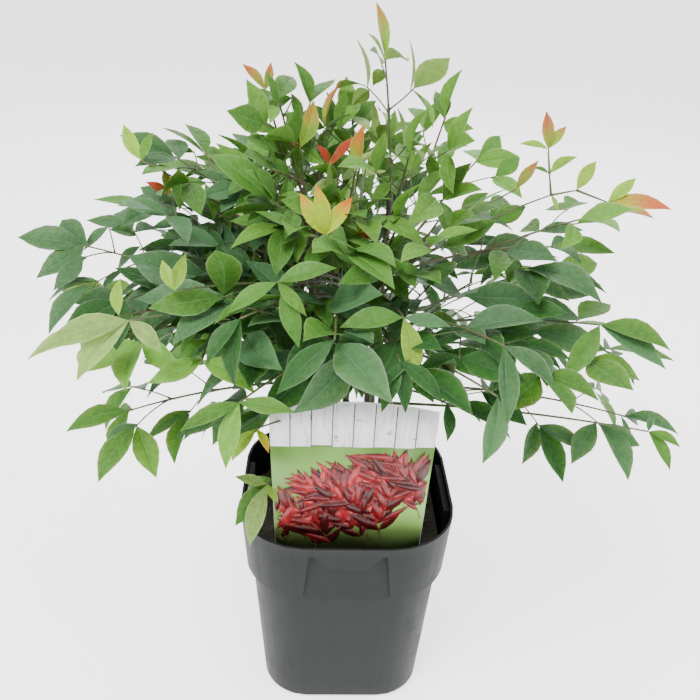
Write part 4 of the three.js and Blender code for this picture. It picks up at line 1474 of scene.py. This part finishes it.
class BAMBOO_OT_label(Operator):
    """Build the plastic label with its printed boards and leaves"""

    bl_idname = "bamboo.label"
    bl_label = "Label"

    def execute(self, context):
        looks = context.scene.bamboo_label
        finished(copy_of_node("label"), "label_card", card_material(), ["label"])
        draw = stream(PRINT.stream)
        boards = [print_board(draw, i, looks.boards) for i in range(looks.boards)]
        shades = {"light": [], "red": [], "dark": [], "stem": []}
        for spray in range(looks.sprays):
            print_spray(draw, spray, shades)
        inks = {
            "light": shade(looks.print_red, 2.0),
            "red": tuple(looks.print_red),
            "dark": shade(looks.print_red, 0.35),
            "stem": COLOURS.print_stem,
        }
        prints = {
            "gaps": ([print_backing()], ink_material("ink_gaps", COLOURS.board_gaps)),
            "boards": (boards, board_material(tuple(looks.card))),
            "lawn": ([print_lawn()], lawn_material(tuple(looks.print_green))),
            **{name: (parts, ink_material(f"ink_{name}", inks[name])) for name, parts in shades.items()},
        }
        for name, (parts, material) in prints.items():
            finished(joined_mesh(f"label_{name}", parts), f"label_{name}", material)
        return {"FINISHED"}


def cane_stem(cane, draw, relief):
    """One bent cane with joints and furrows."""
    foot, bend, tip = (Vector(p * MM) for p in cane_curve(cane))
    deselect()
    bpy.ops.curve.primitive_bezier_curve_add()
    curve = bpy.context.object.data
    curve.dimensions = "3D"
    first, last = curve.splines[0].bezier_points
    for point in (first, last):
        point.handle_left_type = point.handle_right_type = "FREE"
    # A third of the way back from the bend, the handles repeat the plan's own curve
    first.co, first.handle_left, first.handle_right = foot, foot, foot.lerp(bend, 2 / 3)
    last.co, last.handle_left, last.handle_right = tip, tip.lerp(bend, 2 / 3), tip
    bpy.ops.object.mode_set(mode="EDIT")
    bpy.ops.curve.select_all(action="SELECT")
    bpy.ops.curve.subdivide(number_cuts=BARK.cuts)
    bpy.ops.object.mode_set(mode="OBJECT")
    points = curve.splines[0].bezier_points
    for k, point in enumerate(points):
        share = k / (len(points) - 1)
        radius = CANE.foot_radius * (1 - share) + CANE.tip_radius * share
        ring = {0: BARK.joint, 1: BARK.neck}.get(k % BARK.joint_every, 1.0)
        point.radius = radius * ring * draw(*BARK.uneven)
    curve.bevel_depth = 1 * MM
    curve.bevel_resolution = BARK.sides
    curve.resolution_u = BARK.smoothness
    curve.use_fill_caps = True
    bpy.ops.object.convert(target="MESH")
    stem = bpy.context.object
    with edited(stem):
        bpy.ops.mesh.remove_doubles(threshold=MERGE * MM)
        bpy.ops.mesh.normals_make_consistent(inside=False)
    roughen(stem, "furrows", *BARK.furrow, relief * 2, 0.5)
    return stem


class BAMBOO_OT_canes(Operator):
    """Build the canes with their joints and furrowed bark"""

    bl_idname = "bamboo.canes"
    bl_label = "Canes"

    def execute(self, context):
        looks = context.scene.bamboo_stems
        streams = [stream(BARK.stream + BARK.stream_step * i) for i in range(len(CANES))]
        canes = [cane_stem(cane, draw, looks.relief) for cane, draw in zip(CANES, streams)]
        activate(canes[0])
        for stem in canes:
            stem.select_set(True)
        bpy.ops.object.join()
        names = [f"cane_{i + 1}" for i in range(len(CANES))]
        finished(canes[0], "canes", bark_material(tuple(looks.cane)), names)
        return {"FINISHED"}


def rachis_tube(spray):
    """A rachis up to its last leaflet, swollen where twigs leave it and at its foot on a cane."""
    end = min(spray.end, max(leaflet.share for leaflet in spray.leaflets))
    shares = np.linspace(0, end, STEMS.steps)
    root = STEMS.stalk_root if spray.sheathed else STEMS.stalk_tip
    radii = root + (STEMS.rachis_tip - root) * shares / end
    length = curve_length(spray.rachis)
    for node in spray.nodes:
        radii *= 1 + (STEMS.swelling - 1) * bulge((shares - node) * length, STEMS.swelling_long)
    if spray.sheathed:
        radii += (STEMS.sheath - root) * bulge(shares * length, STEMS.sheath_long)
    return tube([on_curve(spray.rachis, share) for share in shares], radii, STEMS.sides)


def twig_tube(twig):
    """A slightly bowed twig, swollen at both ends."""
    steps = np.linspace(0, 1, STEMS.pinna_steps)
    way, up = twig.stop - twig.start, twig.frame[1]
    bow = STEMS.pinna_bow * np.linalg.norm(way)
    points = [twig.start + way * s + up * bow * 4 * s * (1 - s) for s in steps]
    at_root, at_tip = STEMS.pinna_swellings
    long = STEMS.pinna_swelling_long
    radii = STEMS.pinna_root + (STEMS.pinna_tip - STEMS.pinna_root) * steps
    radii *= 1 + at_root * bulge(steps, long) + at_tip * bulge(1 - steps, long)
    return tube(points, radii, STEMS.pinna_sides)


class BAMBOO_OT_twigs(Operator):
    """Build the leaf stalks, their rachises and the twigs of the compound leaves"""

    bl_idname = "bamboo.twigs"
    bl_label = "Stalks and Twigs"

    def execute(self, context):
        parts = []
        for spray in PLANT:
            parts.append(rachis_tube(spray))
            leafy = {leaflet.twig for leaflet in spray.leaflets}
            parts += [twig_tube(twig) for i, twig in enumerate(spray.twigs) if i in leafy]
        names = [spray.name for spray in PLANT if spray.name]
        names += [f"{STALKED.name}_stalk_{i + 1}" for i in range(len(STALKED.leaves))]
        material = twig_material(tuple(context.scene.bamboo_stems.stalk))
        finished(joined_mesh("twigs", parts), "twigs", material, names)
        return {"FINISHED"}


class BAMBOO_OT_leaves(Operator):
    """Build the leaflets, one piece for each tint"""

    bl_idname = "bamboo.leaves"
    bl_label = "Leaflets"

    def execute(self, context):
        looks = context.scene.bamboo_leaves
        blades = {tint: [] for tint in TINTS}
        for spray in PLANT:
            for leaflet in spray.leaflets:
                blades[leaflet.tint].append(leaflet_mesh(leaflet, looks.width * spray.slim, looks.fold))
        for tint, meshes in blades.items():
            leaves = joined_mesh(f"leaves_{tint}", *zip(*meshes))
            activate(leaves)
            bpy.ops.object.shade_smooth_by_angle(angle=math.radians(BLADE.sharp_above))
            finished(leaves, f"leaves_{tint}", leaf_material(tint))
        return {"FINISHED"}


def lay_floor(looks):
    deselect()
    bpy.ops.mesh.primitive_plane_add(size=FLOOR.size, location=(0, 0, -FLOOR.below * MM))
    floor = bpy.context.object
    floor.name = "floor"
    board = new_board("floor_paper")
    board.set(Base_Color=tuple(looks.floor), Roughness=0.9)
    board.set(Emission_Color=COLOURS.white, Emission_Strength=looks.glow)
    floor.data.materials.append(board.owner)


def light_studio(looks):
    """Even light from all sides, a brighter backdrop for the camera alone, and the soft boxes."""
    board = Board(bpy.data.worlds.new("studio"), "BACKGROUND")
    bpy.context.scene.world = board.owner
    board.set(Color=COLOURS.white, Strength=SKY_LIGHT * looks.light)
    sky = Tone(board, board.shader.outputs[0])
    backdrop = board.node("ShaderNodeBackground", None, {"Strength": looks.backdrop})
    seen = board.node("ShaderNodeLightPath", output="Is Camera Ray")
    mixed = board.node("ShaderNodeMixShader", None, {0: seen, 1: sky, 2: backdrop})
    board.feed(board.first("OUTPUT_WORLD").inputs["Surface"], mixed)
    for name, (place, size, power) in BOXES.items():
        bpy.ops.object.light_add(type="AREA", location=place)
        lamp = bpy.context.object
        lamp.name = name
        lamp.data.size = size
        lamp.data.energy = power * looks.light
        lamp.rotation_euler = (Vector(BOX_AIM) - Vector(place)).to_track_quat("-Z", "Y").to_euler()


def set_camera(looks):
    place, aim = Vector(CAMERA.place) * MM, Vector(CAMERA.aim) * MM
    bpy.ops.object.camera_add(location=place)
    camera = bpy.context.object
    camera.name = "camera"
    camera.data.sensor_width = CAMERA.sensor
    camera.data.lens = looks.lens
    camera.data.clip_start = CAMERA.near * MM
    camera.rotation_mode = "QUATERNION"
    roll = Quaternion((0, 0, 1), math.radians(CAMERA.roll))
    camera.rotation_quaternion = (aim - place).to_track_quat("-Z", "Y") @ roll
    bpy.context.scene.camera = camera


class BAMBOO_OT_stage(Operator):
    """Lay the floor, hang the soft boxes and set the camera"""

    bl_idname = "bamboo.stage"
    bl_label = "Stage"

    def execute(self, context):
        looks = context.scene.bamboo_stage
        lay_floor(looks)
        light_studio(looks)
        set_camera(looks)
        return {"FINISHED"}


STEPS = (
    BAMBOO_OT_stage,
    BAMBOO_OT_pot,
    BAMBOO_OT_soil,
    BAMBOO_OT_crumbs,
    BAMBOO_OT_label,
    BAMBOO_OT_canes,
    BAMBOO_OT_twigs,
    BAMBOO_OT_leaves,
)


class BAMBOO_PT_panel(Panel):
    """The steps that build the plant, in order"""

    bl_label = "Heavenly Bamboo"
    bl_idname = "BAMBOO_PT_panel"
    bl_space_type = "VIEW_3D"
    bl_region_type = "UI"
    bl_category = "Bamboo"

    def draw(self, context):
        for step in STEPS:
            self.layout.operator(step.bl_idname)
        for name, group in GROUPS.items():
            box = self.layout.box()
            for key in group.__annotations__:
                box.prop(getattr(context.scene, name), key)


CLASSES = (*GROUPS.values(), *STEPS, BAMBOO_PT_panel)
PLANT = plan_plant()


def register():
    for each in CLASSES:
        bpy.utils.register_class(each)
    for name, group in GROUPS.items():
        setattr(bpy.types.Scene, name, PointerProperty(type=group))


def unregister():
    for name in GROUPS:
        delattr(bpy.types.Scene, name)
    for each in reversed(CLASSES):
        bpy.utils.unregister_class(each)


def main():
    register()
    for step in STEPS:
        group, action = step.bl_idname.split(".")
        getattr(getattr(bpy.ops, group), action)()


if __name__ == "__main__":
    main()
